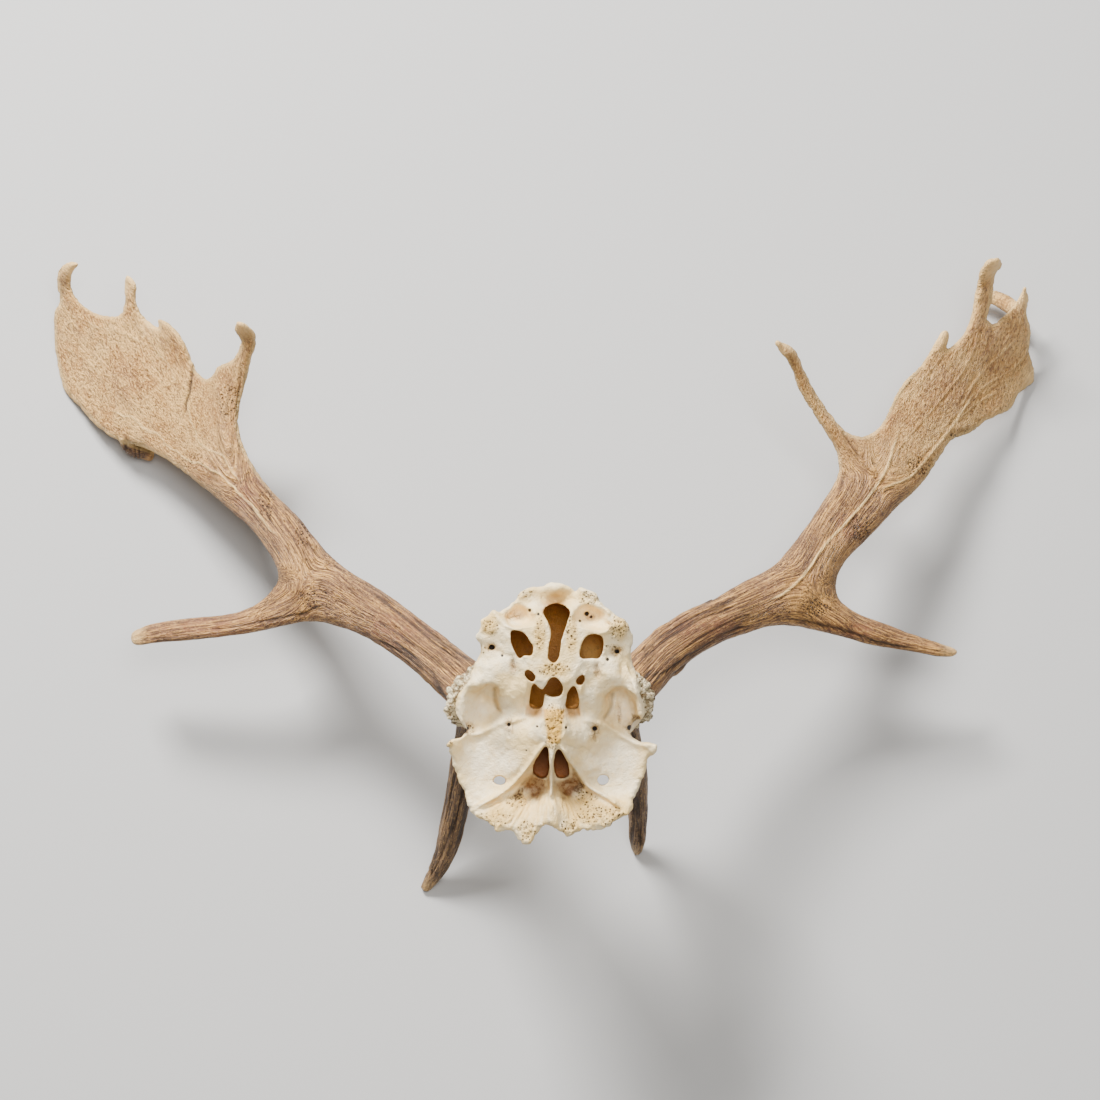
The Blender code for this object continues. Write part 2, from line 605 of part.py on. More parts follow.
def brow_hole(index, cutters):
    x, y, half_x, half_y = BROW_HOLES[index]
    bpy.ops.mesh.primitive_cylinder_add(vertices=12, radius=MM, depth=THROUGH * MM)
    hole = bpy.context.object
    place = Matrix.Translation((x * MM, y * MM, -THROUGH / 2 * MM))
    hole.data.transform(place @ Matrix.Diagonal((half_x, half_y, 1, 1)))
    move_points(hole, as_placed(*(points_of(hole) / MM).T) * MM)
    return as_cutter(hole, f"brow_hole_{index + 1}", cutters)


def skull(solids, cutters):
    """The skull plate: hollowed by the brain, pierced, and sawn flat at z = 0."""
    parts = [skull_block(solids)]
    parts += [tube("pedicle", spec["pedicle"], solids, 5) for spec in (LEFT, RIGHT)]
    plate = fused(joined(parts, solids, "skull_plate"), solids, SKULL_VOXEL)
    plate = thinned(plate, solids, SKULL_TRIANGLES)
    cuts = [cutter_box("saw", (0, 0, 0), (0, 0, 1), 200, 60, cutters), brain_hollow(cutters)]
    for spec in (LEFT, RIGHT):
        middle, axis = burr_axis(spec)
        seat = middle - axis * (BURR_FOOT + GAP)
        cuts.append(cutter_box(spec["side"] + "_seat", seat, axis, 30, 60, cutters))
    for name, (outline, depth) in OPENINGS.items():
        cuts.append(as_cutter(outline_block(name, outline, depth, cutters), name, cutters))
    cuts += [brow_hole(index, cutters) for index in range(len(BROW_HOLES))]
    for cut in cuts:
        plate = boolean(plate, cut, "DIFFERENCE", solids)
    return plate


def lay_down(nodes, cutters):
    """The resting pose, with the middle of the box's underside at the origin."""
    turn = Matrix.Rotation(REST_PITCH, 4, "X")
    points = np.vstack([points_of(node) for node in nodes]) @ np.array(turn.to_3x3()).T
    low, high = points.min(0), points.max(0)
    to_origin = Vector((-(low[0] + high[0]) / 2, -(low[1] + high[1]) / 2, -low[2]))
    pose = bpy.data.objects.new("resting_pose", None)
    bpy.context.scene.collection.objects.link(pose)
    pose.matrix_world = Matrix.Translation(to_origin) @ turn
    for obj in [*nodes, *cutters.objects]:
        obj.parent = pose


def main():
    clear_scene()
    solids = collection("fallow_deer_antlers")
    cutters = collection("cutters")
    nodes = [*antler(LEFT, solids, cutters), *antler(RIGHT, solids, cutters), skull(solids, cutters)]
    for node in nodes:
        finish(node)
    lay_down(nodes, cutters)


main()
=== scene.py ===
"""Fallow deer antlers grown on a sawn skull plate: the bone's fine surface, its finishes, and the studio.

The shapes are drawn in the skull's own frame, in millimetres: x to the deer's right, y to the back of
its head, z out of the sawn face, which is the plane z = 0. An outline or a place is drawn as it is seen
from VIEW_DISTANCE in front of the sawn face, and true_place gives where it really is.
"""

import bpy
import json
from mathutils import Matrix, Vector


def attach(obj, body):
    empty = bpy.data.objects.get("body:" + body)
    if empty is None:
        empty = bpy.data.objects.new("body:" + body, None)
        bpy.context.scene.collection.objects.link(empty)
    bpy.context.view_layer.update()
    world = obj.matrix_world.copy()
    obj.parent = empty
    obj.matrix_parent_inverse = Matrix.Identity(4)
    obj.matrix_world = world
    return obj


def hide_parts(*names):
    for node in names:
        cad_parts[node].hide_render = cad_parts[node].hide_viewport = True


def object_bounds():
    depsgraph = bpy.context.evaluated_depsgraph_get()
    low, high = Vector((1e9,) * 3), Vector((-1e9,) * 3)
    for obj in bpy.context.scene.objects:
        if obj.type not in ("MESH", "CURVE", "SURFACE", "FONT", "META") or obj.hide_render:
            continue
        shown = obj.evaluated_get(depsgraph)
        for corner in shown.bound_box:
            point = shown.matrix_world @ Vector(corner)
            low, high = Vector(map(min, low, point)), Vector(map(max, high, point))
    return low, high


bl_info = {
    "name": "Fallow deer antlers",
    "version": (1, 0, 0),
    "blender": (4, 5, 0),
    "location": "View3D > Sidebar > Antlers",
    "description": "Builds a pair of palmate antlers on a sawn skull plate",
    "category": "Add Mesh",
}

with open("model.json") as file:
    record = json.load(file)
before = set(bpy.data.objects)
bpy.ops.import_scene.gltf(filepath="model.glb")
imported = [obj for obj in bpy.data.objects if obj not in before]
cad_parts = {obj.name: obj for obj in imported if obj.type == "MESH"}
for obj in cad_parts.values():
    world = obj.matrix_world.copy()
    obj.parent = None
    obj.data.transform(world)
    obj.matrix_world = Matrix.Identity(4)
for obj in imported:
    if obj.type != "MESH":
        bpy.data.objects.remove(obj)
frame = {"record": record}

import json
import math

import bpy
import numpy as np
from bpy.props import FloatProperty, FloatVectorProperty, PointerProperty
from mathutils import Matrix, Vector

MM = 0.001

# The box of the solid parts, which the modelled pieces stay inside by BOX_ROOM millimetres.
SOLID_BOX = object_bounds()
BOX_ROOM = 0.05

# The eye that the outlines are drawn for, in front of the sawn face and level with the back of the skull.
VIEW_DISTANCE = 2000
VIEW_Y = 90

# The camera stands at that eye. FRAME_PIXELS is the width of the picture, and one pixel is PIXEL
# millimetres wide on the sawn face.
FRAME_PIXELS = 1100
PIXEL = 0.6

# The name of the finish that both antlers share.
ANTLER_FINISH = "weathered_antler"

# Where the sawn face's mount lies in the skull's frame.
SAWN_MOUNT = (1.8, -12, 0)

# The flat blocks as first cut out, before they are given their depth, and the grain of the meshes.
BLOCK_HALF = 3
ANTLER_VOXEL = 0.9
SKULL_VOXEL = 0.7
SMOOTHING = 4

# What the melting and smoothing take off an antler's skin, given back.
GROWTH = 0.35

# The burr: a ring with rows of pearls round the foot of the beam: (lift along the beam, distance out,
# how many, radius), and where the foot is cut below it.
BURR_RING = 17.0
BURR_THICKNESS = 4.0
PEARL_ROWS = [
    (-4.5, 18.5, 20, 2.2),
    (-1.5, 20.5, 19, 2.7),
    (2.0, 20.5, 20, 2.5),
    (5.0, 18.5, 19, 2.1),
    (8.0, 16.0, 15, 1.5),
]
BURR_FOOT = 6

# How far from its focus the fan of a palm's texture is drawn at its true width.
FAN_RADIUS = 130

# The middle of a palm, as far to the side and back as seen, which the fan's middle line runs to.
PALM_MIDDLE = (240, 190)

# How deep the marks in an antler's skin are, and how high its swellings, in millimetres.
SWELLING, RIPPLE, VEIN_RIPPLE = 0.6, 0.22, 0.35
FURROW_DEEP, SCRATCH_DEEP, CUT_DEEP, PITTED_DEEP = 0.7, 0.4, 0.9, 0.75
PALM_GRAIN_DEEP, POCK_DEEP, RIM_DEEP = 0.3, 0.5, 0.5
PEARL_ROUGH, PEARL_GAP_DEEP, STUB_DEEP = 0.5, 1.0, 1.2

# How wide the antler's swellings, ripples, pores, pebbles and pocks are, in millimetres, and over which part
# of a cell the last three fade. Furrows and creases are given as their width and their length.
SWELLING_WIDE, RIPPLE_WIDE, PEARL_ROUGH_WIDE = 26, 6, 1.9
SKIN_PORE_WIDE, SKIN_PORE_SIZE = 2.4, (0.12, 0.45)
PEBBLE_WIDE, PEBBLE_GAP = 2.7, (0.42, 0.72)
POCK_WIDE, POCK_SIZE = 6.5, (0.1, 0.28)
COARSE_FURROWS, FINE_FURROWS = (3.4, 75), (1.9, 45)
PALM_GRAIN, STUB_CREASES = (2.4, 18), (2.6, 9)

# Over which millimetres each finish of an antler fades: to the side, in depth, in thickness or in reach.
BROW_Y, BROW_DEPTH = (-8, 14), (95, 112)
PALM_THICKNESS, PALM_Y = (5.5, 12), (95, 135)
TIP_REACH, STUB_REACH, STEM_REACH = (4, 17), (9, 14), (45, 150)
BURR_LIFT, BURR_INNER, BURR_OUTER = (6.5, 9.5), (13.5, 16), (26, 29)
RIM_REACH, RIM_Y = (0.8, 2.6), (110, 150)

# How deep the marks in the bone are, and how high its swellings, in millimetres.
BONE_SWELLING, TEMPLE_ROUGH, BONE_RIPPLE, SPONGY_ROUGH = 0.35, 0.75, 0.3, 0.25
PORE_DEEP, SMALL_PORE_DEEP, FIBRE_DEEP, TEETH_DEEP = 1.25, 0.4, 0.6, 0.8

# How far under the underside its paint fades out, how far the brown slopes beside the nose and the painted
# shadow run down, and where the brown of the openings' walls begins. WALL_REACH is how near an opening's
# outline its walls lie.
PAINT_FADE, BROWN_FADE, WALL_FADE = (1.5, 5), (4, 10), (2.5, 7)
WALL_REACH = (2.0, 2.5)

# The crown's outer skin: the thickness of bone above it that stays unpainted, and the depth it begins at.
# HOLLOW_SKIN is how far out the brown of the hollow goes, as a part of the hollow's half axes.
CROWN_BONE, CROWN_DEPTH = (5, 8), (18, 22)
HOLLOW_SKIN = (1.01, 1.06)

# Where the fan of fibres, the rough temples and the teeth of the rim begin and end: to the side and back in
# millimetres, round the root of the nose in radians, and in from the edge in millimetres.
FAN_Y, FAN_ANGLE = (53, 62), (1.0, 1.35)
TEMPLE_X, TEMPLE_Y, TEMPLE_EDGE = (22, 32), (-2, 10), (6, 14)
TEETH_EDGE, TEETH_Y = (1.0, 4.0), (20, 30)

# Over how many millimetres the edges of the painted patches are soft.
STRIP_SOFT, PATCH_SOFT, DARK_SOFT = 1.6, 5.0, 2.0

# The grain of the pores, in millimetres, and how much of each cell a pore takes.
PORE_GRAIN, SMALL_PORE_GRAIN = 2.1, 1.3
PORE_SIZE = (0.15, 0.5)

# Half the widths and the length of the boxes that cut the beams, the pedicles and the sawn face, and the gap
# that is left between a beam and its pedicle.
BEAM_CUT, PEDICLE_CUT, FACE_CUT = 40, 30, 200
CUT_LENGTH = 60
BURR_GAP = 0.3

# How far the bumps of the finishes rise, in metres.
ANTLER_BUMP = 0.0026
BONE_BUMP = 0.0010

# The studio, in metres: the point that the lights are turned to, their places and widths, and the floor.
LIT_PLACE = (0, 0, 0.12)
KEY_PLACE, KEY_WIDTH = (-0.8, 1.4, 1.7), 0.7
FILL_PLACE, FILL_WIDTH = (0.15, -0.25, 2.4), 1.0
FLOOR_WIDTH = 12
FLOOR_ROUGHNESS = 0.9
WHITE = (1.0, 1.0, 1.0, 1.0)

# Each antler. Stations are (x, y, depth z, edge radius, half thickness) of the flat-cut part, and a tube's
# points are (x, y, z, radius). Spines are (x, y) lines along which the grain runs. Veins are raised lines
# (points, half width, height), and furrows are sunk ones. Pitted, red, dark and pale places are ellipses
# (x, y, half width, half height). Tips are rubbed ends and the stub is a brown nodule, each as x, y, z.
LEFT = {
    "side": "left",
    "seed": 11,
    "outline": [
        (-60, 33.5), (-75, 45.5), (-90, 57.5), (-105, 68), (-120, 77.5), (-132, 87), (-141.5, 98),
        (-150, 108.5), (-161.5, 119.5), (-170.5, 129.5), (-178, 140.5), (-184, 152.5), (-187, 165),
        (-186, 177.5), (-183, 189), (-179.5, 204), (-176.5, 214), (-177.5, 220), (-182.5, 225.5),
        (-188, 227), (-189, 221.5), (-185.5, 216), (-187, 209), (-192, 203), (-199, 200),
        (-201.5, 195.5), (-206, 192), (-210.5, 194.5), (-215, 203), (-218.5, 212), (-223, 220),
        (-230.5, 227), (-235, 228.5), (-234.5, 223), (-241, 227), (-246.5, 233.5), (-248.5, 242),
        (-248.5, 250), (-254, 255), (-255, 252), (-255, 245.5), (-255.5, 236.5), (-258.5, 230.5),
        (-272, 232), (-279.5, 237), (-285.5, 243.5), (-287.5, 251.5), (-286, 257.5), (-282.5, 261.5),
        (-287.5, 263), (-294, 259), (-296, 251), (-294, 239.5), (-297.5, 232), (-297.5, 221.5),
        (-297, 210), (-294.5, 198), (-291.5, 187), (-279.5, 173.5), (-270, 163), (-258.5, 155.5),
        (-240, 150), (-228, 143.5), (-210, 129.5), (-192, 115), (-180, 104), (-170.5, 92), (-164, 81),
        (-162.5, 72), (-168, 63.5), (-178, 56), (-192, 51.5), (-222, 48), (-243, 44), (-251, 40),
        (-250, 33.5), (-234, 34.5), (-210, 36.5), (-186, 39.5), (-162, 44), (-144, 47), (-126, 44),
        (-102, 33), (-81, 18.5), (-71, 10),
    ],
    "stations": [
        (-66, 21.5, -105, 13, 10), (-90, 42, -126, 14, 13), (-114, 58, -145, 16, 16),
        (-135, 69, -160, 18, 17), (-150, 85, -173, 16, 16), (-162, 102, -187, 15, 15),
        (-177, 120, -201, 13, 13), (-195, 138, -216, 10, 10), (-216, 162, -234, 6, 6),
        (-240, 186, -254, 5, 5), (-264, 207, -272, 4.5, 4.5), (-283, 222, -286, 4.5, 4.5),
        (-295, 205, -300, 4.5, 4.5), (-270, 165, -276, 4.5, 4.5), (-235, 150, -250, 6, 6),
        (-215, 200, -241, 5, 5), (-245, 225, -258, 4.5, 4.5), (-293, 243, -290, 5, 5),
        (-294, 257, -280, 4.5, 4.5), (-284.5, 261.5, -268, 3.5, 3.5), (-252, 234, -260, 4.5, 4.5),
        (-252, 252, -250, 3.5, 3.5), (-188.5, 156, -212, 9, 9.5), (-186, 180, -212, 9, 9),
        (-182, 203, -206, 7.5, 7.5), (-180, 217, -196, 6, 6), (-186, 225, -184, 4.5, 5),
        (-163, 57, -170, 10, 11), (-186, 48, -172, 8, 8.5), (-216, 43, -176, 7, 7),
        (-240, 39.5, -181, 6, 6), (-249.5, 37, -185, 4.5, 4.5),
    ],
    "stem": [
        (-33, -6, -68, 15.5), (-44, 2.5, -82, 15.5), (-55, 12.5, -94, 15), (-67.5, 23.5, -106, 14),
        (-83, 35.5, -120, 14), (-98, 46.5, -132, 14),
    ],
    "pedicle": [(-30, -9, -42, 22), (-37, -5, -58, 19), (-42, 0, -72, 17.5), (-46, 4, -84, 17.5)],
    "tubes": [
        [
            (-54, 12, -97, 11.5), (-48.5, 1, -109, 12), (-46, -12, -122, 11),
            (-48.5, -26, -134, 10), (-52, -41, -146, 9.2), (-54.7, -56, -157, 8.6),
            (-57.3, -69, -167, 8.4), (-60.2, -81, -175, 7.9), (-64.6, -95, -184, 6.8),
            (-69.3, -104.5, -190, 5.4), (-75.2, -113.3, -195, 2.7),
        ],
        [(-255, 160, -264, 6), (-250, 152.5, -272, 7), (-238, 148.5, -273, 6)],
    ],
    "spines": [
        [(-98, 47), (-116, 58), (-135, 70), (-149, 85), (-162, 102), (-177, 120), (-194, 138), (-215, 160),
         (-240, 184), (-263, 205), (-281, 223), (-290, 240), (-292, 252), (-287, 260)],
        [(-177, 120), (-184, 140), (-187, 160), (-185, 182), (-182, 203), (-179.5, 216), (-186, 225)],
        [(-135, 70), (-150, 61), (-165, 54), (-187, 47), (-216, 43), (-240, 39.5), (-250, 37)],
        [(-194, 138), (-209, 165), (-225, 192), (-240, 213), (-250, 231), (-251, 252)],
        [(-177, 120), (-200, 132), (-226, 148), (-252, 163), (-275, 182), (-292, 205)],
    ],
    "veins": [
        ([(-159, 93), (-170, 107), (-183.5, 122), (-198, 135.5), (-217.5, 145), (-226, 149),
          (-236.5, 159.5), (-251, 170), (-265, 173.5), (-269, 178.5)], 0.76, 0.9),
        ([(-183.5, 129), (-194, 143), (-208.5, 152.5), (-215.5, 168), (-218, 182)], 0.72, 0.8),
        ([(-235.5, 161), (-241, 170), (-251, 184), (-262, 197)], 0.64, 0.5),
        ([(-257.5, 175.5), (-264, 186), (-275.5, 202.5), (-288, 209), (-294, 214)], 0.64, 0.5),
        ([(-286, 234), (-275.5, 225.5), (-254.5, 219.5), (-237.5, 209)], 1.20, 0.5),
        ([(-251, 230), (-245, 221.5), (-230, 203.5), (-222, 186)], 1.04, 0.5),
        ([(-158.5, 94.5), (-141, 74), (-129.5, 64.5), (-111.5, 55.5)], 1.12, 0.35),
        ([(-209, 152.5), (-222, 170), (-236, 190), (-248, 207)], 0.64, 0.4),
        ([(-269, 178.5), (-280, 181), (-290, 188)], 0.64, 0.45),
        ([(-192, 136), (-199, 150), (-202, 166), (-202, 184)], 0.56, 0.4),
        ([(-228, 152), (-233, 166), (-244, 186)], 0.56, 0.35),
    ],
    "furrows": [
        ([(-214, 203), (-215, 192), (-218, 180), (-219, 171)], 0.8, 1.2),
        ([(-185, 200), (-187, 180), (-187.5, 160), (-184, 145)], 0.7, 0.9),
        ([(-182.5, 196), (-184.5, 178), (-185, 162)], 0.7, 0.9),
        ([(-135, 57), (-152, 51), (-172, 47), (-196, 43)], 0.8, 1.0),
        ([(-52, 22), (-70, 35), (-95, 56), (-108, 65)], 0.7, 1.3),
        ([(-47, 23), (-62, 33), (-83, 50)], 0.7, 1.2),
        ([(-74, 16), (-88, 27), (-104, 37)], 0.7, 1.0),
        ([(-60, 16), (-80, 32), (-106, 48)], 0.7, 0.7),
    ],
    "pitted": [
        (-140, 61, 12, 7), (-192, 178, 7, 12), (-170, 118, 5, 10), (-214, 143, 10, 5), (-148, 100, 5, 9),
    ],
    "red": [(-180, 200, 9, 30), (-212, 196, 6, 12), (-252, 190, 16, 18), (-182, 120, 10, 20),
            (-95, 42, 30, 12), (-205, 45, 42, 9)],
    "dark": [(-184, 219, 7, 5), (-248, 153, 9, 6), (-292, 250, 3, 9)],
    "pale": [(-150, 80, 10, 14)],
    "tips": [
        (-284, 261, -268), (-253, 254, -250), (-187, 226, -184), (-251, 37, -185), (-75, -113, -195),
        (-235, 228, -256),
    ],
    "stub": (-248, 153, -268),
    "fan_focus": (-135, 65),
}

RIGHT = {
    "side": "right",
    "seed": 23,
    "outline": [
        (60.5, 38.5), (78.5, 50.5), (96.5, 59.8), (114, 69.5), (132, 78.7), (142, 89.2), (151, 99.7),
        (162, 116), (168.5, 126), (173, 137), (171.5, 150), (162, 166), (150, 185), (142, 203.5),
        (135, 213.5), (136, 216), (147.5, 209.5), (152.5, 199), (162, 180), (174, 164.5), (181, 159),
        (190, 158.5), (198, 164), (203, 174), (212, 190), (223, 201.5), (231, 213.5), (237, 222),
        (239.5, 219), (237.5, 210), (242.5, 213), (251.5, 225.5), (255.5, 245), (258.5, 258), (264, 264.5),
        (270.5, 265), (271, 260.5), (267, 254.5), (265, 241), (262, 228.5), (266, 225.5),
        (272.5, 230.5), (281, 240.5), (285, 248), (287, 241), (286, 231), (288.5, 222),
        (287.5, 209.5), (290.5, 192.5), (281, 184), (276, 174.5), (261.5, 167.5), (254.5, 161.5),
        (240, 155.5), (234, 146), (222, 128.5), (206, 114), (190, 97.5), (178.5, 85), (172.5, 74),
        (172.5, 62), (183.5, 52), (204, 44.3), (228, 36), (244.5, 29), (240.5, 26), (216, 29),
        (192, 33.5), (168, 40), (141, 45.3), (120, 41), (90, 28.5), (73, 14),
    ],
    "stations": [
        (67, 29, -106, 13, 10), (90, 44, -126, 14, 13), (117, 57.5, -144, 16, 16),
        (144, 66, -160, 18, 17), (162, 84, -174, 16, 16), (174, 105, -188, 14, 14),
        (189, 126, -202, 11, 12), (201, 147, -214, 9, 9), (216, 162, -226, 6, 6),
        (234, 180, -240, 5, 5), (249, 198, -252, 4.5, 4.5), (264, 213, -264, 4.5, 4.5),
        (279, 222, -278, 4.5, 4.5), (287, 195, -296, 4, 4), (262, 170, -268, 5, 5),
        (240, 158, -246, 6, 6), (212, 187, -228, 5, 5), (240, 213, -244, 4.5, 4.5),
        (283, 241, -280, 3.5, 3.5), (259, 234, -256, 5.5, 5.5), (261.5, 252, -250, 5.5, 5.5),
        (268, 262, -240, 4.5, 5), (238, 219, -240, 3, 3), (177, 150, -206, 9, 9.5),
        (171, 162, -202, 7.5, 8), (159, 177, -194, 6.5, 6.5), (150, 192, -186, 6, 6),
        (145, 205, -178, 5.5, 5.5), (137, 213.5, -168, 3, 3.5), (171, 54, -170, 11, 11),
        (192, 41, -174, 7.5, 8), (213, 34, -179, 6, 6.5), (231, 30.5, -183, 5, 5),
        (243, 28, -187, 3.5, 3.5),
    ],
    "stem": [
        (33, -6, -68, 15.5), (44, 3, -82, 15.5), (55.5, 14.5, -94, 15), (68.3, 27.9, -107, 14),
        (84.5, 39.7, -121, 14), (103, 49, -135, 14),
    ],
    "pedicle": [(30, -9, -42, 22), (37, -5, -58, 19), (42, 0, -72, 17.5), (46, 4, -84, 17.5)],
    "tubes": [
        [
            (54, 13, -97, 11.5), (47.5, 2, -110, 11.5), (44, -11, -123, 10.5),
            (46.5, -26, -138, 9.2), (50.8, -44, -156, 8), (52.3, -59, -171, 7.2),
            (52.7, -72, -184, 6.3), (52.5, -84, -195, 5.2), (52.2, -91, -202.8, 2.7),
        ],
        [(279, 234, -286, 5), (272, 239, -297, 5.2), (264, 242, -304, 4.6), (257, 241, -309, 3)],
    ],
    "spines": [
        [(103, 50), (120, 57), (144, 68), (160, 84), (174, 105), (189, 126), (201, 145), (216, 162),
         (233, 180), (249, 200), (258, 222), (260, 240), (262, 254), (268, 262)],
        [(189, 126), (180, 146), (170, 162), (159, 178), (150, 193), (145, 205), (137, 214)],
        [(144, 66), (158, 60), (172, 53), (192, 41), (213, 34), (231, 30.5), (243, 28)],
        [(216, 162), (240, 176), (262, 195), (277, 214), (284, 243)],
        [(201, 145), (208, 170), (222, 192), (237, 215)],
        [(189, 126), (215, 137), (240, 160), (265, 172), (288, 193)],
    ],
    "veins": [
        ([(126, 57.5), (140, 64), (152.5, 75), (165, 93), (180, 109), (194, 126), (202.5, 140),
          (209, 165)], 0.88, 1.0),
        ([(84, 36), (98, 45), (111.5, 51), (131, 60)], 1.04, 0.3),
        ([(194, 126), (203.5, 128.5), (215, 133), (226, 145), (239, 161.5), (251.5, 179.5),
          (257, 187)], 0.76, 0.9),
        ([(239, 161.5), (248, 171.5), (264.5, 183), (269, 184.5)], 0.64, 0.6),
        ([(246, 174), (257, 194), (273.5, 210.5), (281.5, 218.5)], 0.64, 0.55),
        ([(253.5, 180.5), (262.5, 189.5), (278, 199.5), (286, 209.5)], 0.64, 0.5),
        ([(203, 140), (210, 152), (222, 166), (236, 182), (252, 205), (258, 225)], 0.64, 0.45),
        ([(190, 150), (203, 168), (222, 190), (240, 212)], 0.56, 0.4),
        ([(228, 150), (240, 168), (262, 186), (284, 196)], 0.56, 0.35),
    ],
    "furrows": [
        ([(200.5, 166), (207, 178.5), (215, 189.5), (223.5, 199.5)], 0.9, 1.1),
        ([(175, 161.5), (180.5, 154), (186, 145)], 0.7, 0.7),
        ([(140, 50), (160, 46), (182, 40), (200, 34), (222, 30)], 0.8, 1.0),
        ([(50, 26), (64, 36), (80, 46.5), (98, 55), (116, 63)], 0.7, 1.3),
        ([(54, 24), (72, 38), (92, 49), (112, 57)], 0.7, 1.1),
        ([(62, 13), (76, 22), (96, 35), (120, 46)], 0.7, 1.0),
        ([(70, 14), (88, 25), (110, 37)], 0.7, 0.9),
    ],
    "pitted": [(160, 55, 9, 5), (186, 103, 7, 8), (246, 158, 8, 4), (222, 140, 8, 8)],
    "red": [(266, 212, 20, 22), (205, 172, 7, 16), (240, 185, 18, 20), (178, 103, 12, 12),
            (182, 42, 22, 6), (95, 42, 30, 10)],
    "dark": [(144, 202, 5, 9), (250, 160, 12, 5)],
    "pale": [(160, 60, 24, 16), (172, 84, 14, 22)],
    "tips": [
        (269, 263, -240), (285, 247, -280), (238, 221, -240), (136, 215, -168), (243, 28, -187),
        (52, -91, -203), (257, 241, -309), (290, 193, -297),
    ],
    "stub": None,
    "fan_focus": (145, 45),
}

# The skull plate's outline as seen from below.
SKULL_OUTLINE = [
    (0.5, 70.5), (-3.5, 68.5), (-14, 67), (-18.5, 64), (-21.5, 59), (-28, 54.5), (-31, 53), (-33.5, 54.5),
    (-36, 53), (-37, 51), (-41.5, 48), (-42, 42.5), (-44.5, 38.5), (-42, 33.5), (-41.5, 29.5),
    (-45.5, 21), (-49, 11), (-53.5, 1), (-53, -9.5), (-50, -17), (-53, -22), (-60, -24), (-62, -27),
    (-60, -31), (-57, -42), (-52, -53.5), (-48, -65), (-44.5, -70), (-38, -73), (-33.5, -77.5),
    (-30, -78.5), (-25, -77.5), (-21, -81), (-15, -87.5), (-10, -84.5), (-4, -75), (0.5, -75.5),
    (6.5, -79), (12, -82), (17, -78.5), (25, -78), (33.5, -76), (42, -71), (48.5, -66.5), (50, -59.5),
    (53.5, -52), (57, -43), (59, -34.5), (62.5, -33.2), (64.7, -30.1), (63.8, -27), (61, -25.5), (54, -25),
    (48.5, -20), (50.5, -13), (56, -11), (54, 3), (50.5, 19), (48, 30), (50, 36), (45.5, 47.5),
    (40, 50.5), (35.5, 54.5),
    (31, 57.5), (28, 63.5), (22, 66.5), (17.5, 67.5), (16, 64.5), (11, 68.5), (5.5, 70),
]

# Spot heights of the plate's underside. One above 0 is sawn off flat.
UNDERSIDE = [
    (0, 69, -12), (-14, 65, -10), (18, 65, -10), (3, 65, -11), (3, 60, -19), (-6, 60, -13), (12, 60, -13),
    (-23, 58, -9), (29, 58, -8), (-20, 51, -17), (-13, 49, -12), (26, 50, -17), (18, 49, -12),
    (-9, 52, -4), (14, 53, -4), (-6, 40, 3), (-6, 30, 3), (13, 40, 3), (12, 30, 3),
    (-14, 43.5, 0), (-24, 44, -3), (19, 43, 0), (32, 41, -3), (-33, 51, -6), (38, 49, -6),
    (-34, 43, -4), (40, 42, -4), (-27, 33, -4), (34, 32, -5), (-35, 32, -9), (41, 30, -9),
    (-41, 37, -9), (46, 37, -9), (-17, 23, -2), (22, 22, -2), (0, 19, 3), (-6, 17, 3), (9, 17, 3),
    (-34, 20, -4), (36, 19, -4), (-35, 27, -8), (40, 25, -8), (-46, 17, -13), (49, 16, -13),
    (-23, 12, -6), (25, 11, -6), (-44, 9, -8), (-34, 12.5, -5), (-27, 9, -6), (30, 9, -6), (41, 12, -5),
    (50, 5, -8), (-40, 2, -25), (45, 2, -25), (-39, -7, -29), (45, -6, -29), (-49, -4, -21),
    (-53, 2, -15), (55, -7, -12), (51, -3, -16), (-30, 2, -13), (33, 1, -14), (-32, -8, -24),
    (37, -9, -24), (-24, 0, -9), (25, -1, -9), (-22, -9, -13), (24, -10, -13), (-17, 6, -5), (18, 5, -5),
    (-9, -8, -15), (14, -8, -15), (-13, -15, -10), (17, -16, -10), (-6, -14, 0), (9, -15, 0),
    (-30, -17, -18), (30, -19, -18), (-48, -18, -25), (47, -21, -26), (2, -10, 3), (2, -22, 2),
    (-42, -36, -26), (42, -36, -26), (-28, -34, -22), (29, -34, -22), (-12, -30, -10), (16, -31, -10),
    (-20, -42, -17), (23, -42, -17), (-36, -52, -26), (36, -52, -26), (-40, -27, -26), (41, -28, -26),
    (-57, -34, -20), (59, -36, -20), (-60, -27, -14), (63, -28, -14), (-50, -54, -23), (54, -50, -23),
    (-43, -66, -20), (47, -64, -20), (-12, -62, -24), (-20, -64, -19), (-31, -73, -16), (-15, -81, -14),
    (1, -62, -11), (1, -72, -9), (14, -63, -23), (24, -66, -17), (37, -69, -16), (12, -77, -14),
    (-9, -53, -30), (12, -53, -30), (-7, -40, -15), (9, -40, -15),
]

# Spot heights of its upper side, the forehead and the crown, which faces the ground.
UPPER_SIDE = [
    (2, 66, -46), (-22, 56, -48), (26, 56, -48), (2, 38, -74), (-24, 32, -68), (28, 32, -68),
    (-40, 30, -56), (45, 30, -56), (2, 10, -74), (-30, 4, -70), (32, 4, -70), (-48, 2, -48),
    (50, 2, -48), (2, -20, -64), (-30, -18, -58), (32, -18, -58), (2, -50, -52), (-28, -44, -43),
    (30, -44, -43), (-55, -32, -30), (58, -33, -30), (-44, -60, -32), (47, -60, -32),
    (2, -74, -32), (-26, -72, -30), (28, -72, -30), (-15, -84, -24),
]

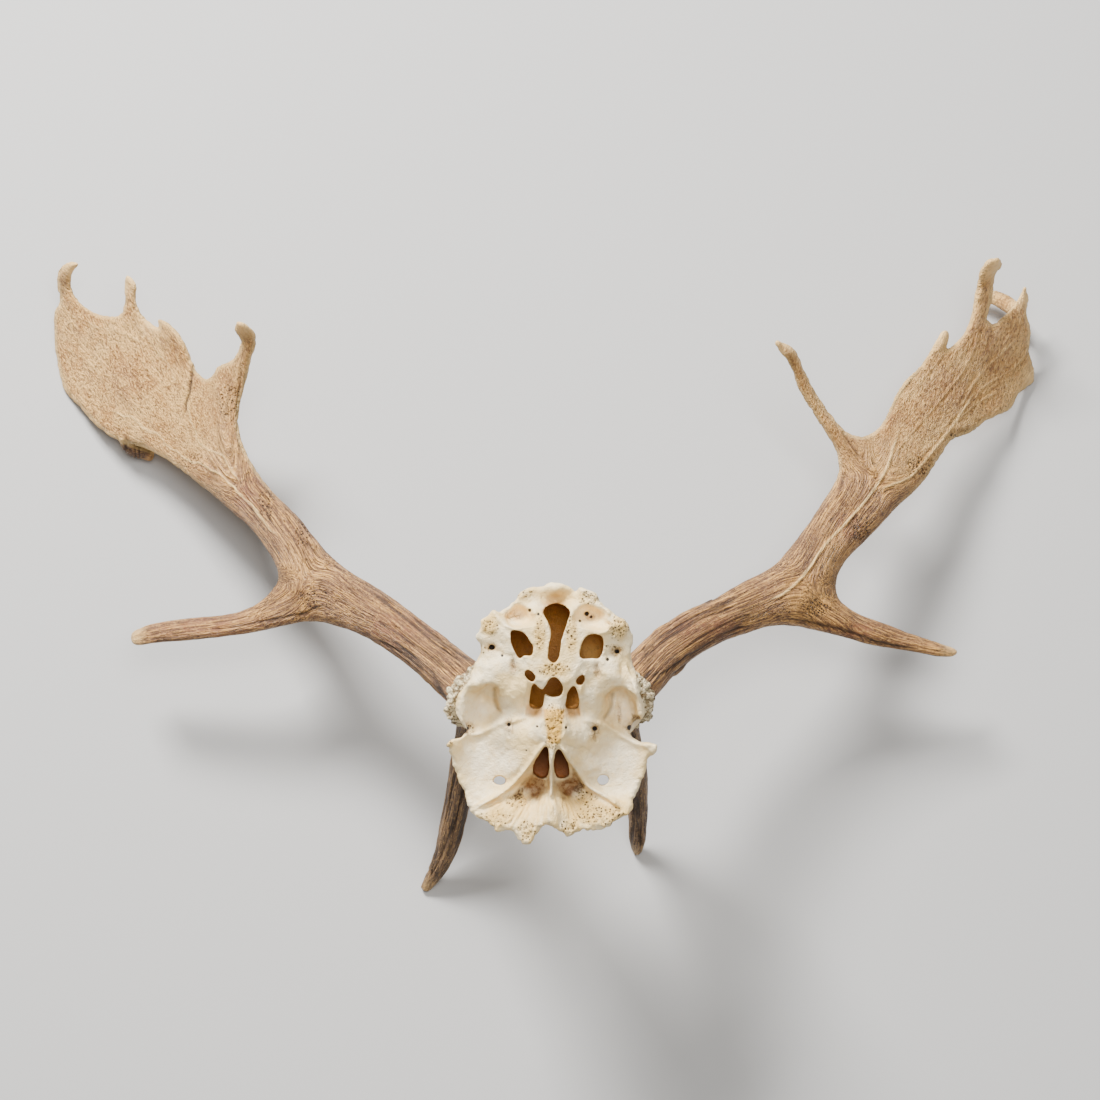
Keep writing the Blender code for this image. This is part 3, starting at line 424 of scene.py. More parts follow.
# Thin walls and rims that stand up from the underside: points, half width, height.
SKULL_RIDGES = [
    ([(-2.5, -25), (-7, -31), (-12, -38.5), (-18, -46), (-25, -53), (-35, -59.5), (-45, -65)], 1.3, 5.0),
    ([(5.5, -26), (9, -31), (13.5, -38.5), (18, -45.5), (22.5, -51.5), (34.5, -58.5), (44, -65)], 1.3, 5.0),
    ([(1.6, -22), (1.0, -34), (0.8, -52), (0.8, -60)], 1.5, 11.0),
    ([(-34.8, 54), (-30, 48.5), (-24.3, 43.8), (-10.4, 43.5)], 1.4, 3.0),
    ([(15.6, 42.8), (26, 42), (32.3, 40.5), (39, 47)], 1.4, 2.6),
    ([(-22, 59), (-14, 55.5), (-8, 51.5)], 1.8, 3.0),
    ([(15, 57), (24, 57.5), (31, 55.5), (37, 50.5)], 1.8, 3.0),
    ([(-47, 5), (-41.9, 7.5), (-36.3, 10.8), (-31, 9), (-29, 4)], 1.5, 1.2),
    ([(31, 3), (35, 6.5), (41, 8.6), (47, 7), (51, 2)], 1.5, 1.4),
    ([(39.4, 6.5), (39.7, 2), (39, -2), (38.2, -5)], 0.8, 1.6),
    ([(44.5, 22), (49, 12), (53, 0), (55.5, -11)], 1.6, 3.5),
    ([(-58, -22.5), (-50, -21), (-42, -20), (-33, -15), (-25, -12)], 1.8, 3.0),
    ([(62, -26.5), (52, -26), (44, -22), (34, -16), (26, -13)], 1.8, 3.0),
    ([(-12, -10), (-20, -12), (-26, -15)], 1.2, 1.6),
    ([(17, -11), (24, -13), (29, -17)], 1.2, 1.6),
    ([(-13.5, 20), (-14, 8), (-14.5, -4), (-16, -12)], 1.1, 2.2),
    ([(21.5, 18), (19, 9), (18.5, -4), (20, -13)], 1.1, 2.2),
]

# Fine sunk lines of the underside: sutures, slits and the shaded grooves: points, half width, depth.
SKULL_GROOVES = [
    ([(-23.2, -30.2), (-20, -28.5), (-16.5, -26.3), (-13, -27), (-9.9, -26.9), (-3, -24.6)], 0.5, 1.0),
    ([(7.9, -25.7), (12, -27.5), (16.8, -29.1), (20, -28), (22.4, -29.3), (25.1, -30.7)], 0.5, 1.0),
    (
        [(-33.3, 8.4), (-33.3, 5.7), (-33.4, 2.9), (-33.3, 0.2), (-32.7, -2.6), (-31.5, -5), (-29.8, -7.1)],
        1.1, 2.6,
    ),
    ([(37.4, 5), (37.5, -0.5), (37.2, -3.3), (36.3, -6), (35, -8.1), (33.4, -10.2), (31.7, -12.6)], 1.1, 2.6),
    ([(-24.3, -17.5), (-24.5, -20), (-23.8, -22.5)], 0.6, 1.8),
    ([(26.9, -19.5), (27.3, -22.5), (27.6, -25.5)], 0.7, 2.2),
    ([(-22.6, 25), (-22, 21), (-21.2, 17.4)], 0.9, 2.6),
    ([(28, 21.8), (28.3, 17.5), (29.2, 13.2)], 0.9, 2.4),
    ([(-30, -3.5), (-27, -5), (-25.5, -4), (-23.5, -5)], 0.5, 0.9),
    ([(-13, -46), (-17, -52), (-22, -58)], 0.8, 1.5),
    ([(16, -46), (20, -53), (26, -58)], 0.8, 1.5),
    ([(-55, -50), (-46, -58), (-36, -63)], 0.7, 0.8),
    ([(-21, 26), (-27, 27.5), (-33, 30), (-38, 29)], 0.8, 1.4),
    ([(30, 26), (35, 27), (41, 26.5)], 0.8, 1.4),
]

# Small holes of the underside: x, y, half width, depth.
SKULL_PITS = [
    (-24.6, -14.8, 1.3, 5.0), (26.9, -17.1, 1.6, 5.5), (-34.8, 31.4, 1.6, 5.5), (40.3, 29.0, 1.6, 6.0),
    (-12.2, 53.9, 1.1, 4.0), (22.0, 51.8, 1.4, 4.5), (24.6, 50.0, 1.0, 3.0), (18.0, 47.5, 0.9, 3.0),
    (-7.0, 51.5, 1.0, 2.5), (-51, -17, 1.8, 6.0), (48, -16.5, 1.8, 6.0), (34.5, 24.3, 1.2, 3.0),
    (-28.7, 26.6, 0.9, 3.0), (-14.2, -30.2, 0.7, 1.5), (9.6, -16.5, 1.0, 1.8), (-7.6, -15.8, 0.8, 1.5),
]

# Places where the underside falls away at once on the right of a line, and rises again: points, depth, reach.
SKULL_STEPS = [
    ([(-47, 4.5), (-41.9, 6.6), (-39.1, 8.6), (-36.3, 9.6), (-33.6, 9.4), (-31.6, 7.6), (-30.8, 4),
      (-30.9, 0), (-30, -4), (-27.5, -7)], 5.0, 9.0),
    ([(31.2, 0.8), (33.2, 3.3), (34.9, 4.8), (37.7, 6.3), (40.5, 7.3), (43.2, 7.3), (46, 6.3),
      (48.4, 3.6), (50.4, -0.2), (51.8, -4), (52.8, -8.1), (53.6, -11.5)], 6.0, 10.0),
    ([(-10, 43.8), (-18, 43.4), (-24, 44.8), (-28.5, 50)], 3.5, 7.0),
    ([(38, 46), (33, 42), (26, 42.5), (18, 43.5)], 3.5, 7.0),
]

# Brown places and painted shadow of the underside, as outlines, and the soft tints, as x, y, half width, half
# height; the tan and pinkish tints are painted shade.
BROWN_PATCHES = [
    [(-10.4, -42.9), (-1.6, -48), (-2.2, -53), (-6.6, -60), (-11.7, -58.7), (-17.4, -50.5)],
    [(2.8, -49.3), (12.3, -45.5), (14.2, -41.7), (19.9, -50.5), (12.9, -58.7), (7.9, -60), (4.1, -54.3)],
]
# The shelves below the lower holes, painted tan as painted shade in these recesses.
SHADED_SHELVES = [
    [(-13.5, -4), (-3.6, -4), (-3.4, -10), (-8, -11), (-13.5, -8.5)],
    [(9, -4), (18, -4), (18.5, -9), (14, -11), (8.3, -10)],
]
SPONGY_STRIP = [
    (-3.6, -5.5), (9, -5.5), (7.6, -12), (7, -16), (6, -26), (-1.5, -26), (-2.3, -15), (-3.4, -11),
]
DARK_PATCHES = [
    [(-14.8, -51.8), (-19, -53.5), (-22.4, -57.5), (-21, -60.6), (-17, -59)],
    [(14.2, -53), (18, -49), (20.5, -51), (19.5, -55.6), (16, -56)],
    [(49, -8), (53.5, -9), (54, -17), (50.5, -18), (49, -13)],
    [(-51.5, -15), (-48, -17), (-49, -21), (-52.5, -18.5)],
]
# Tan round the pits and in the basins and recesses: painted shade, with some of the bone's own tan by the
# pedicles.
TAN_AND_SHADE_BLOBS = [
    (-22, 51, 6, 4), (24, 50, 3, 2.5), (-50, -17, 6, 5), (49, -16, 6, 5), (41.7, -9, 1.6, 8),
    (-24.6, -16, 4, 6), (27, -19, 4, 7), (-35, 31, 5, 4), (40, 29, 5, 4), (-22, 21, 3, 6), (28.5, 17.5, 3, 6),
]
YELLOW_BLOBS = [
    (2, -14, 8, 14), (2, 18, 15, 7), (-20, -66, 24, 10), (24, -66, 26, 10), (3, 62, 14, 6),
    (-6, 40, 5, 13), (13, 40, 5, 14), (-38, 46, 6, 8), (42, 45, 6, 9),
]
COOL_BLOBS = [(-36, -36, 20, 15), (38, -36, 20, 15), (-44, -6, 10, 9), (45, -8, 8, 10)]
# Pinkish brown on the slope down into the brain's opening: painted shade.
FUNNEL_SHADE_BLOBS = [(3, 58, 10, 3), (-2, 54, 4, 3)]
TINTS = {"yellow": YELLOW_BLOBS, "tan": TAN_AND_SHADE_BLOBS, "cool": COOL_BLOBS, "funnel_shade": FUNNEL_SHADE_BLOBS}

# What the inside of the hollow is painted as: a painted pool of light behind the right window, and painted
# shade, a darker reddish brown, in the nose pits.
PAINTED_LIGHT_BLOB = (25.5, 31, 9, 11)
NOSE_SHADE_BLOB = (1, -40, 14, 18)

# The root of the nose, which the fan of fibres spreads from.
NOSE_ROOT = (0.8, -38)

# Where the bone is sawn or worn open to its spongy core: x, y, half width, half height, strength.
SPONGY = [
    (-6, 40, 3.5, 12, 0.8), (13, 40, 4.0, 13, 0.8), (2, 18.5, 11, 4.5, 1.0), (1.8, -12, 5.2, 11, 1.2),
    (1.5, -25, 4.5, 6, 1.1), (-16, 64, 7, 3.5, 0.6), (23, 61, 7, 5, 0.8), (-36, 45, 6, 7, 0.8),
    (41, 43, 7, 8, 0.9), (-61, -26.5, 3.5, 3, 1.0), (-33, -71, 12, 6, 0.6), (-14, -78, 6, 8, 0.8),
    (30, -69, 17, 7, 0.9), (12, -76, 6, 5, 0.9), (-20, -60, 8, 5, 0.7), (22, -59, 8, 5, 0.7),
    (38, 31, 7, 3, 0.6), (-40, 30, 4, 3, 0.6), (-48, -17, 4, 4, 0.6),
]

# The brain's hollow: middle and half axes.
BRAIN_MIDDLE = (2, 25, -37)
BRAIN_HALF = (33, 33, 25)

# Openings of the underside: outline, and how deep each goes.
OPENINGS = {
    "brain_stem_slot": (
        [
            (-4, 53.5), (-0.5, 56.5), (3.5, 57.5), (8.5, 56.5), (12, 53), (10, 45.5), (7, 36),
            (5.5, 26), (2.5, 22), (-1, 24.5), (-0.5, 33), (0.5, 39.5), (-2, 47.5),
        ],
        32,
    ),
    "left_window": (
        [
            (-23, 41.5), (-16, 40.5), (-12.5, 36), (-10, 32), (-11, 26.5), (-15.5, 26.5),
            (-18, 24.5), (-21.5, 29.5), (-23.5, 35.5),
        ],
        30,
    ),
    "right_window": (
        [(23.5, 39), (30.5, 38.5), (32, 33.5), (30, 25), (24, 24.5), (18, 25), (18.5, 32), (20.5, 36.5)],
        30,
    ),
    "left_oval_hole": ([(-14.5, 17.5), (-12, 17.5), (-9, 14), (-10, 11), (-13, 12), (-15, 15)], 30),
    "right_oval_hole": ([(16, 12.5), (20, 15), (21, 12.5), (19, 9), (16, 9.5)], 30),
    "middle_hole": (
        [(-0.5, 12.5), (3, 14), (6.5, 11), (8, 6), (6, 2), (-0.5, 1.5), (-4.5, 5), (-2.5, 9.5)],
        32,
    ),
    "left_slot": ([(-10, 9.5), (-5.5, 6.5), (-3, 5.5), (-3.5, 0.5), (-5, -5), (-12, -5), (-12, 2)], 30),
    "right_slot": ([(14.5, 8.5), (17, 3), (17, -5.5), (9.5, -5.5), (10, 2), (11.5, 6)], 30),
    "left_nose_pit": (
        [(-2, -28), (-0.5, -36), (-1.5, -47.5), (-5, -49), (-10, -45.5), (-10, -40), (-6, -32)],
        36,
    ),
    "right_nose_pit": (
        [(5, -29.5), (8.5, -33), (11.5, -41), (11.5, -47.5), (7, -49), (3.5, -47.5), (2.5, -36)],
        36,
    ),
}

# The two holes right through the roofs of the orbits: middle and half axes.
BROW_HOLES = [(-30.3, -48.3, 4.0, 2.9), (31.8, -48, 3.7, 3.2)]
THROUGH = 90

# The thinnest bone, and how round the plate's edge is below and above: at the face end, and at the crown.
LEAST_BONE = 5
EDGE_BELOW = 2.2
EDGE_ABOVE_FACE = 6
EDGE_ABOVE_CROWN = 24
CROWN_FROM, CROWN_TO = -10, 25
RIM_DEPTH = 4


def true_place(x, y, z):
    """Where a point drawn as seen really is, in millimetres."""
    spread = (VIEW_DISTANCE - z) / VIEW_DISTANCE
    return Vector((x * spread, VIEW_Y + (y - VIEW_Y) * spread, z))


def seen_places(points):
    """The x, y that true points are seen at."""
    spread = (VIEW_DISTANCE - points[:, 2]) / VIEW_DISTANCE
    return points[:, 0] / spread, VIEW_Y + (points[:, 1] - VIEW_Y) / spread


def as_placed(x, y, z):
    """true_place for arrays, as rows of x, y, z."""
    spread = (VIEW_DISTANCE - z) / VIEW_DISTANCE
    return np.column_stack([x * spread, VIEW_Y + (y - VIEW_Y) * spread, z])


def skull_frame():
    """Where the skull's frame lies in the model, read from the sawn face's mount."""
    mount = next(m for m in frame["record"]["mounts"] if m["name"] == "sawn_face")
    _, across, up = mount["axis"]
    turn = Matrix.Rotation(math.atan2(-across, up), 4, "X")
    origin = Vector(mount["pos_m"]) - turn @ (Vector(SAWN_MOUNT) * MM)
    return Matrix.Translation(origin) @ turn


def smooth_through(points, closed, steps):
    """A centripetal Catmull-Rom curve through points, each of any number of values."""
    points = [np.array(p, float) for p in points]
    count = len(points)
    if closed:
        ring = [points[-1], *points, points[0], points[1]]
    else:
        ring = [2 * points[0] - points[1], *points, 2 * points[-1] - points[-2]]
        count -= 1
    made = []
    for i in range(count):
        p0, p1, p2, p3 = ring[i : i + 4]
        t1 = max(np.linalg.norm(p1 - p0), 1e-6) ** 0.5
        t2 = t1 + max(np.linalg.norm(p2 - p1), 1e-6) ** 0.5
        t3 = t2 + max(np.linalg.norm(p3 - p2), 1e-6) ** 0.5
        for step in range(steps):
            t = t1 + (t2 - t1) * step / steps
            a1 = (t1 - t) / t1 * p0 + t / t1 * p1
            a2 = (t2 - t) / (t2 - t1) * p1 + (t - t1) / (t2 - t1) * p2
            a3 = (t3 - t) / (t3 - t2) * p2 + (t - t2) / (t3 - t2) * p3
            b1 = (t2 - t) / t2 * a1 + t / t2 * a2
            b2 = (t3 - t) / (t3 - t1) * a2 + (t - t1) / (t3 - t1) * a3
            made.append((t2 - t) / (t2 - t1) * b1 + (t - t1) / (t2 - t1) * b2)
    if not closed:
        made.append(points[-1])
    return np.array(made)


def thin_plate(spots):
    """The smoothest surface through spot heights (x, y, z), as a function of arrays x and y."""
    spots = np.array(spots, float)
    xy, z = spots[:, :2], spots[:, 2]

    def kernel(a, b):
        square = ((a[:, None, :] - b[None, :, :]) ** 2).sum(2)
        return square * np.log(square + 1e-9)

    count = len(xy)
    flat = np.hstack([np.ones((count, 1)), xy])
    system = np.zeros((count + 3, count + 3))
    system[:count, :count] = kernel(xy, xy)
    system[:count, count:] = flat
    system[count:, :count] = flat.T
    weights = np.linalg.solve(system, np.concatenate([z, np.zeros(3)]))

    def height(x, y):
        at = np.column_stack([x, y])
        bent = kernel(at, xy) @ weights[:count]
        return bent + weights[count] + at @ weights[count + 1 :]

    return height


def nearby_mean(spots, values, x, y):
    """Values of the spots, each counting by its nearness to x, y."""
    spots, values = np.array(spots, float), np.array(values, float)
    square = (x[:, None] - spots[:, 0]) ** 2 + (y[:, None] - spots[:, 1]) ** 2 + 4.0
    weight = square**-2
    return ((weight @ values).T / weight.sum(1)).T


def distance_to_line(x, y, line, closed=False):
    """How far each x, y is from a line of points, how far along it, from 0 to 1, and on which side, 1 for
    the right-hand side of who walks along the line."""
    start = np.array(line, float)
    end = np.roll(start, -1, axis=0)
    if not closed:
        start, end = start[:-1], end[:-1]
    along = end - start
    length = np.maximum(np.hypot(along[:, 0], along[:, 1]), 1e-9)
    before = np.concatenate([[0], np.cumsum(length)[:-1]])
    nearest = np.full(len(x), 1e9)
    place = np.zeros(len(x))
    right = np.ones(len(x))
    for (sx, sy), (ax, ay), size, run in zip(start, along, length, before):
        t = np.clip(((x - sx) * ax + (y - sy) * ay) / size**2, 0, 1)
        away = np.hypot(x - sx - t * ax, y - sy - t * ay)
        closer = away < nearest
        nearest[closer] = away[closer]
        place[closer] = run + t[closer] * size
        right[closer] = np.sign(ay * (x[closer] - sx) - ax * (y[closer] - sy))
    return nearest, place / length.sum(), right


def roundness(distance, radius):
    """0 at an edge, rising like a quarter circle to 1 at radius inside it."""
    return np.sqrt(1 - (1 - np.clip(distance / radius, 0, 1)) ** 2)


def ramp(value, low, high):
    """0 below low, 1 above high, smooth between."""
    t = np.clip((value - low) / (high - low), 0, 1)
    return t * t * (3 - 2 * t)


def strokes(x, y, lines):
    """The height of raised lines (points, half width, height), tapered at both ends, and of the troughs
    that run along both sides of them."""
    raised, troughs = np.zeros(len(x)), np.zeros(len(x))
    for points, width, height in lines:
        away, place, _ = distance_to_line(x, y, smooth_through(points, False, 3))
        taper = height * ramp(np.minimum(place, 1 - place), -0.02, 0.12)
        raised = np.maximum(raised, taper * np.exp(-((away / width) ** 2)))
        troughs = np.maximum(troughs, 0.35 * taper * np.exp(-(((away - 2.3 * width) / width) ** 2)))
    return raised, troughs


def steps_down(x, y, lines):
    """How far the ground falls beside lines (points, depth, reach): at once on their right, rising again
    over their reach."""
    fall = np.zeros(len(x))
    for points, depth, reach in lines:
        away, place, right = distance_to_line(x, y, smooth_through(points, False, 3))
        taper = ramp(np.minimum(place, 1 - place), -0.01, 0.12)
        inside = away * right
        fall = np.maximum(fall, depth * taper * ramp(inside, -0.3, 1.1) * (1 - ramp(inside, 1.1, reach)))
    return fall


def inside_patch(x, y, outline, soft):
    """1 inside an outline, falling to 0 at its edge over soft millimetres."""
    corners = np.array(outline, float)
    crossings = np.zeros(len(x), bool)
    for (ax, ay), (bx, by) in zip(corners, np.roll(corners, -1, axis=0)):
        spans = (ay > y) != (by > y)
        crossings ^= spans & (x < (bx - ax) * (y - ay) / (by - ay + 1e-12) + ax)
    away = distance_to_line(x, y, outline, closed=True)[0]
    return ramp(np.where(crossings, away, -away), -0.5 * soft, 0.5 * soft)


def hashed(cells, seed):
    """A value from -1 to 1 for each whole-number place."""
    mixed = cells @ np.array([73856093, 19349663, 83492791]) + seed * 2654435761
    for _ in range(2):
        mixed = ((mixed ^ (mixed >> 15)) * 2246822519) & 0x7FFFFFFF
    return (mixed & 0xFFFF) / 32767.5 - 1


def noise(points, seed):
    """Smooth noise from -1 to 1 at each row of points, with one bump to a unit."""
    cell = np.floor(points).astype(np.int64)
    part = points - cell
    fade = part * part * part * (part * (part * 6 - 15) + 10)
    total = np.zeros(len(points))
    for corner in np.ndindex(2, 2, 2):
        weight = np.prod(np.where(corner, fade, 1 - fade), axis=1)
        total += hashed(cell + np.array(corner), seed) * weight
    return total


def scatter_distance(points, seed):
    """Distance from each point to the nearest of a scatter of places, one to a unit cell."""
    cell = np.floor(points).astype(np.int64)
    nearest = np.full(len(points), 9.0)
    for step in np.ndindex(3, 3, 3):
        at = cell + np.array(step) - 1
        jitter = np.column_stack([hashed(at, seed + k) for k in range(3)]) * 0.45 + 0.5
        nearest = np.minimum(nearest, np.linalg.norm(at + jitter - points, axis=1))
    return nearest


def activate(obj):
    bpy.ops.object.select_all(action="DESELECT")
    obj.select_set(True)
    bpy.context.view_layer.objects.active = obj


def apply_modifier(obj, name, kind, **settings):
    modifier = obj.modifiers.new(name, kind)
    for key, value in settings.items():
        setattr(modifier, key, value)
    activate(obj)
    bpy.ops.object.modifier_apply(modifier=modifier.name)


def points_of(obj):
    points = np.empty(len(obj.data.vertices) * 3)
    obj.data.vertices.foreach_get("co", points)
    return points.reshape(-1, 3) / MM


def move_points(obj, points):
    obj.data.vertices.foreach_set("co", (points * MM).ravel())
    obj.data.update()


def normals_of(obj):
    normals = np.empty(len(obj.data.vertices) * 3)
    obj.data.vertex_normals.foreach_get("vector", normals)
    return normals.reshape(-1, 3)


def paint(obj, name, values):
    """Stores a value or a vector at each vertex, for the finish to read."""
    kind = "FLOAT" if values.ndim == 1 else "FLOAT_VECTOR"
    layer = obj.data.attributes.new(name, kind, "POINT")
    layer.data.foreach_set("value" if values.ndim == 1 else "vector", values.astype(np.float32).ravel())


def keep_inside(obj):
    """Holds a placed piece inside the box of the solid parts."""
    low, high = (np.array(corner) / MM for corner in SOLID_BOX)
    move_points(obj, np.clip(points_of(obj), low + BOX_ROOM, high - BOX_ROOM))


def curve_to_mesh(name, curve):
    """A welded mesh object of a curve."""
    obj = bpy.data.objects.new(name, curve)
    bpy.context.scene.collection.objects.link(obj)
    activate(obj)
    bpy.ops.object.convert(target="MESH")
    obj = bpy.context.object
    bpy.ops.object.mode_set(mode="EDIT")
    bpy.ops.mesh.select_all(action="SELECT")
    bpy.ops.mesh.remove_doubles(threshold=1e-5)
    bpy.ops.object.mode_set(mode="OBJECT")
    return obj


def outline_block(name, outline, half):
    """A flat block with this closed outline, half thick above and below z = 0."""
    curve = bpy.data.curves.new(name, "CURVE")
    curve.dimensions = "2D"
    curve.fill_mode = "BOTH"
    curve.extrude = half * MM
    spline = curve.splines.new("POLY")
    spline.points.add(len(outline) - 1)
    for point, (x, y) in zip(spline.points, outline):
        point.co = (x * MM, y * MM, 0, 1)
    spline.use_cyclic_u = True
    return curve_to_mesh(name, curve)


def tube(name, places):
    """A round tapering rod through (x, y, z, radius), drawn as seen."""
    curve = bpy.data.curves.new(name, "CURVE")
    curve.dimensions = "3D"
    curve.bevel_depth = MM
    curve.bevel_resolution = 6
    curve.use_fill_caps = True
    line = smooth_through([(*true_place(x, y, z), r) for x, y, z, r in places], False, 5)
    spline = curve.splines.new("POLY")
    spline.points.add(len(line) - 1)
    for point, (x, y, z, r) in zip(spline.points, line):
        point.co = (x * MM, y * MM, z * MM, 1)
        point.radius = r
    return curve_to_mesh(name, curve)


def join(parts, name):
    activate(parts[0])
    for part in parts:
        part.select_set(True)
    bpy.ops.object.join()
    obj = bpy.context.object
    obj.name = name
    obj.data.name = name
    return obj


def facing(direction):
    """The turn that brings +Z to a direction."""
    return Vector(direction).to_track_quat("Z", "Y").to_matrix().to_4x4()


def place_mesh(obj, matrix):
    """Puts a place into the mesh and leaves the object at the origin."""
    obj.data.transform(matrix @ obj.matrix_world)
    obj.matrix_world = Matrix.Identity(4)


def cutter_box(start, direction, half_width, length):
    """A box that begins at start and runs length millimetres along direction."""
    bpy.ops.mesh.primitive_cube_add(size=1)
    box = bpy.context.object
    size = Matrix.Diagonal((2 * half_width * MM, 2 * half_width * MM, length * MM, 1))
    lift = Matrix.Translation((0, 0, length / 2 * MM))
    place_mesh(box, Matrix.Translation(Vector(start) * MM) @ facing(direction) @ lift @ size)
    return box


def carve(obj, cutter):
    """Cuts cutter out of obj, and removes it."""
    apply_modifier(obj, "Carve", "BOOLEAN", operation="DIFFERENCE", solver="MANIFOLD", object=cutter)
    bpy.data.objects.remove(cutter)


def melt(obj, voxel, smoothing):
    """Melts obj's shells into one skin of even faces, and smooths it."""
    apply_modifier(obj, "Melt together", "REMESH", mode="VOXEL", voxel_size=voxel * MM)
    if smoothing:
        apply_modifier(obj, "Smooth", "SMOOTH", factor=0.5, iterations=smoothing)


def burr_axis(spec):
    """Middle of the burr, and which way the beam leaves it."""
    foot = true_place(*spec["stem"][1][:3])
    along = true_place(*spec["stem"][3][:3])
    return foot, (along - foot).normalized()


def burr(spec):
    """The ring of the burr with its pearls, as separate shells."""
    middle, axis = burr_axis(spec)
    place = Matrix.Translation(middle * MM) @ facing(axis)
    bpy.ops.mesh.primitive_torus_add(
        major_radius=BURR_RING * MM,
        minor_radius=BURR_THICKNESS * MM,
        major_segments=48,
        minor_segments=12,
    )
    ring = bpy.context.object
    place_mesh(ring, place)
    parts = [ring]
    chance = np.random.default_rng(spec["seed"])
    for lift, out, count, radius in PEARL_ROWS:
        turn = chance.uniform(0, 2 * math.pi)
        for i in range(count):
            angle = turn + 2 * math.pi * (i + chance.uniform(-0.25, 0.25)) / count
            away = out + chance.uniform(-1.3, 1.3)
            size = radius * chance.uniform(0.75, 1.25)
            bpy.ops.mesh.primitive_ico_sphere_add(subdivisions=2, radius=size * MM)
            pearl = bpy.context.object
            at = Vector((math.cos(angle) * away, math.sin(angle) * away, lift + chance.uniform(-1, 1)))
            place_mesh(pearl, place @ Matrix.Translation(at * MM))
            parts.append(pearl)
    return parts


def antler_plate(spec):
    """The flat-cut part of an antler: the beam, the palm and the tines in its plane."""
    outline = smooth_through(spec["outline"], True, 5)
    block = outline_block("plate", outline, BLOCK_HALF)
    melt(block, ANTLER_VOXEL, 0)
    points = points_of(block)
    x, y = points[:, 0], points[:, 1]
    stations = np.array(spec["stations"], float)
    depth = thin_plate(stations[:, :3])(x, y)
    edge, half = nearby_mean(stations[:, :2], stations[:, 3:], x, y).T
    reach = distance_to_line(x, y, outline, closed=True)[0]
    z = depth + points[:, 2] / BLOCK_HALF * half * roundness(reach, edge)
    move_points(block, as_placed(x, y, z))
    return block


def antler_spines(spec):
    """The lines that the grain follows, as true points, each with how far along the antler it starts."""
    stations = np.array(spec["stations"], float)
    depth = thin_plate(stations[:, :3])
    stem = [true_place(x, y, z) for x, y, z, _ in spec["stem"]]
    spines = [[*stem[:-1]]]
    for i, line in enumerate(spec["spines"]):
        x, y = np.array(line, float).T
        places = [true_place(*p) for p in zip(x, y, depth(x, y))]
        if i == 0:
            spines[0] += places
        else:
            spines.append(places)
    spines += [[true_place(x, y, z) for x, y, z, _ in places] for places in spec["tubes"]]
    main = smooth_through(spines[0], False, 5)
    run = np.concatenate([[0], np.cumsum(np.linalg.norm(np.diff(main, axis=0), axis=1))])
    made = [(main, 0.0)]
    for places in spines[1:]:
        line = smooth_through(places, False, 5)
        nearest = np.linalg.norm(main - line[0], axis=1).argmin()
        made.append((line, run[nearest]))
    return made


def flow(points, spines):
    """For each point, how far it is along the grain, and its two offsets across it."""
    total = np.zeros((len(points), 3))
    weights = np.zeros(len(points))
    up = np.array([0.0, 0.0, 1.0])
    for line, start in spines:
        tangent = np.gradient(line, axis=0)
        tangent /= np.linalg.norm(tangent, axis=1)[:, None]
        side = np.cross(tangent, up)
        side /= np.linalg.norm(side, axis=1)[:, None]
        over = np.cross(side, tangent)
        run = start
        nearest = np.full(len(points), 1e9)
        found = np.zeros((len(points), 3))
        for i in range(len(line) - 1):
            along = line[i + 1] - line[i]
            size = np.linalg.norm(along)
            t = np.clip((points - line[i]) @ along / size**2, 0, 1)
            off = points - line[i] - t[:, None] * along
            away = np.linalg.norm(off, axis=1)
            closer = away < nearest
            nearest[closer] = away[closer]
            tc = t[closer][:, None]
            offset = off[closer]
            found[closer, 0] = run + t[closer] * size
            found[closer, 1] = (offset * (side[i] * (1 - tc) + side[i + 1] * tc)).sum(1)
            found[closer, 2] = (offset * (over[i] * (1 - tc) + over[i + 1] * tc)).sum(1)
            run += size
        weight = 1 / (nearest**2 + 4) ** 2
        total += found * weight[:, None]
        weights += weight
    return total / weights[:, None]


def furrowed(grain, across, along, seed):
    """Narrow furrows that run with the grain: 1 at their floor."""
    bumps = noise(grain / np.array([along, across, across]), seed)
    return 1 - ramp(np.abs(bumps), 0.0, 0.3)


def ellipses(x, y, places, inner=0.3, outer=1.2):
    """A soft mask over ellipses: x, y, half width, half height."""
    mask = np.zeros(len(x))
    for px, py, wide, high in places:
        mask = np.maximum(mask, 1 - ramp(np.hypot((x - px) / wide, (y - py) / high), inner, outer))
    return mask


def antler_zones(points, normals, spec):
    """Where each finish of an antler goes, from 0 to 1 at each point."""
    x, y = seen_places(points)
    station = np.array(spec["stations"], float)
    thick = nearby_mean(station[:, :2], station[:, 4], x, y)
    middle, axis = (np.array(v) for v in burr_axis(spec))
    from_burr = points - middle
    lift = from_burr @ axis
    out = np.linalg.norm(from_burr - lift[:, None] * axis, axis=1)
    brow = ramp(-y, *BROW_Y) * ramp(-points[:, 2], *BROW_DEPTH)
    palm = (1 - ramp(thick, *PALM_THICKNESS)) * ramp(y, *PALM_Y)
    tip = np.zeros(len(points))
    for place in spec["tips"]:
        away = np.linalg.norm(points - np.array(true_place(*place)), axis=1)
        tip = np.maximum(tip, 1 - ramp(away, *TIP_REACH))
    edge = distance_to_line(x, y, smooth_through(spec["outline"], True, 2), closed=True)[0]
    ring = ramp(out, *BURR_INNER) * (1 - ramp(out, *BURR_OUTER))
    knobs = (1 - ramp(np.abs(lift), *BURR_LIFT)) * ring * (1 - brow)
    return {
        "brow": brow,
        "palm": palm * (1 - brow),
        "tip": tip,
        "burr": knobs,
        "stem": 1 - ramp(lift, *STEM_REACH),
        "rim": (1 - ramp(edge, *RIM_REACH)) * ramp(y, *RIM_Y) * (1 - brow),
        "pitted": ellipses(x, y, spec["pitted"], 0.6, 1.25),
        "red": ellipses(x, y, spec["red"]),
        "dark": ellipses(x, y, spec["dark"]),
        "pale": ellipses(x, y, spec["pale"]),
        "front": ramp(normals[:, 2], -0.1, 0.35),
    }


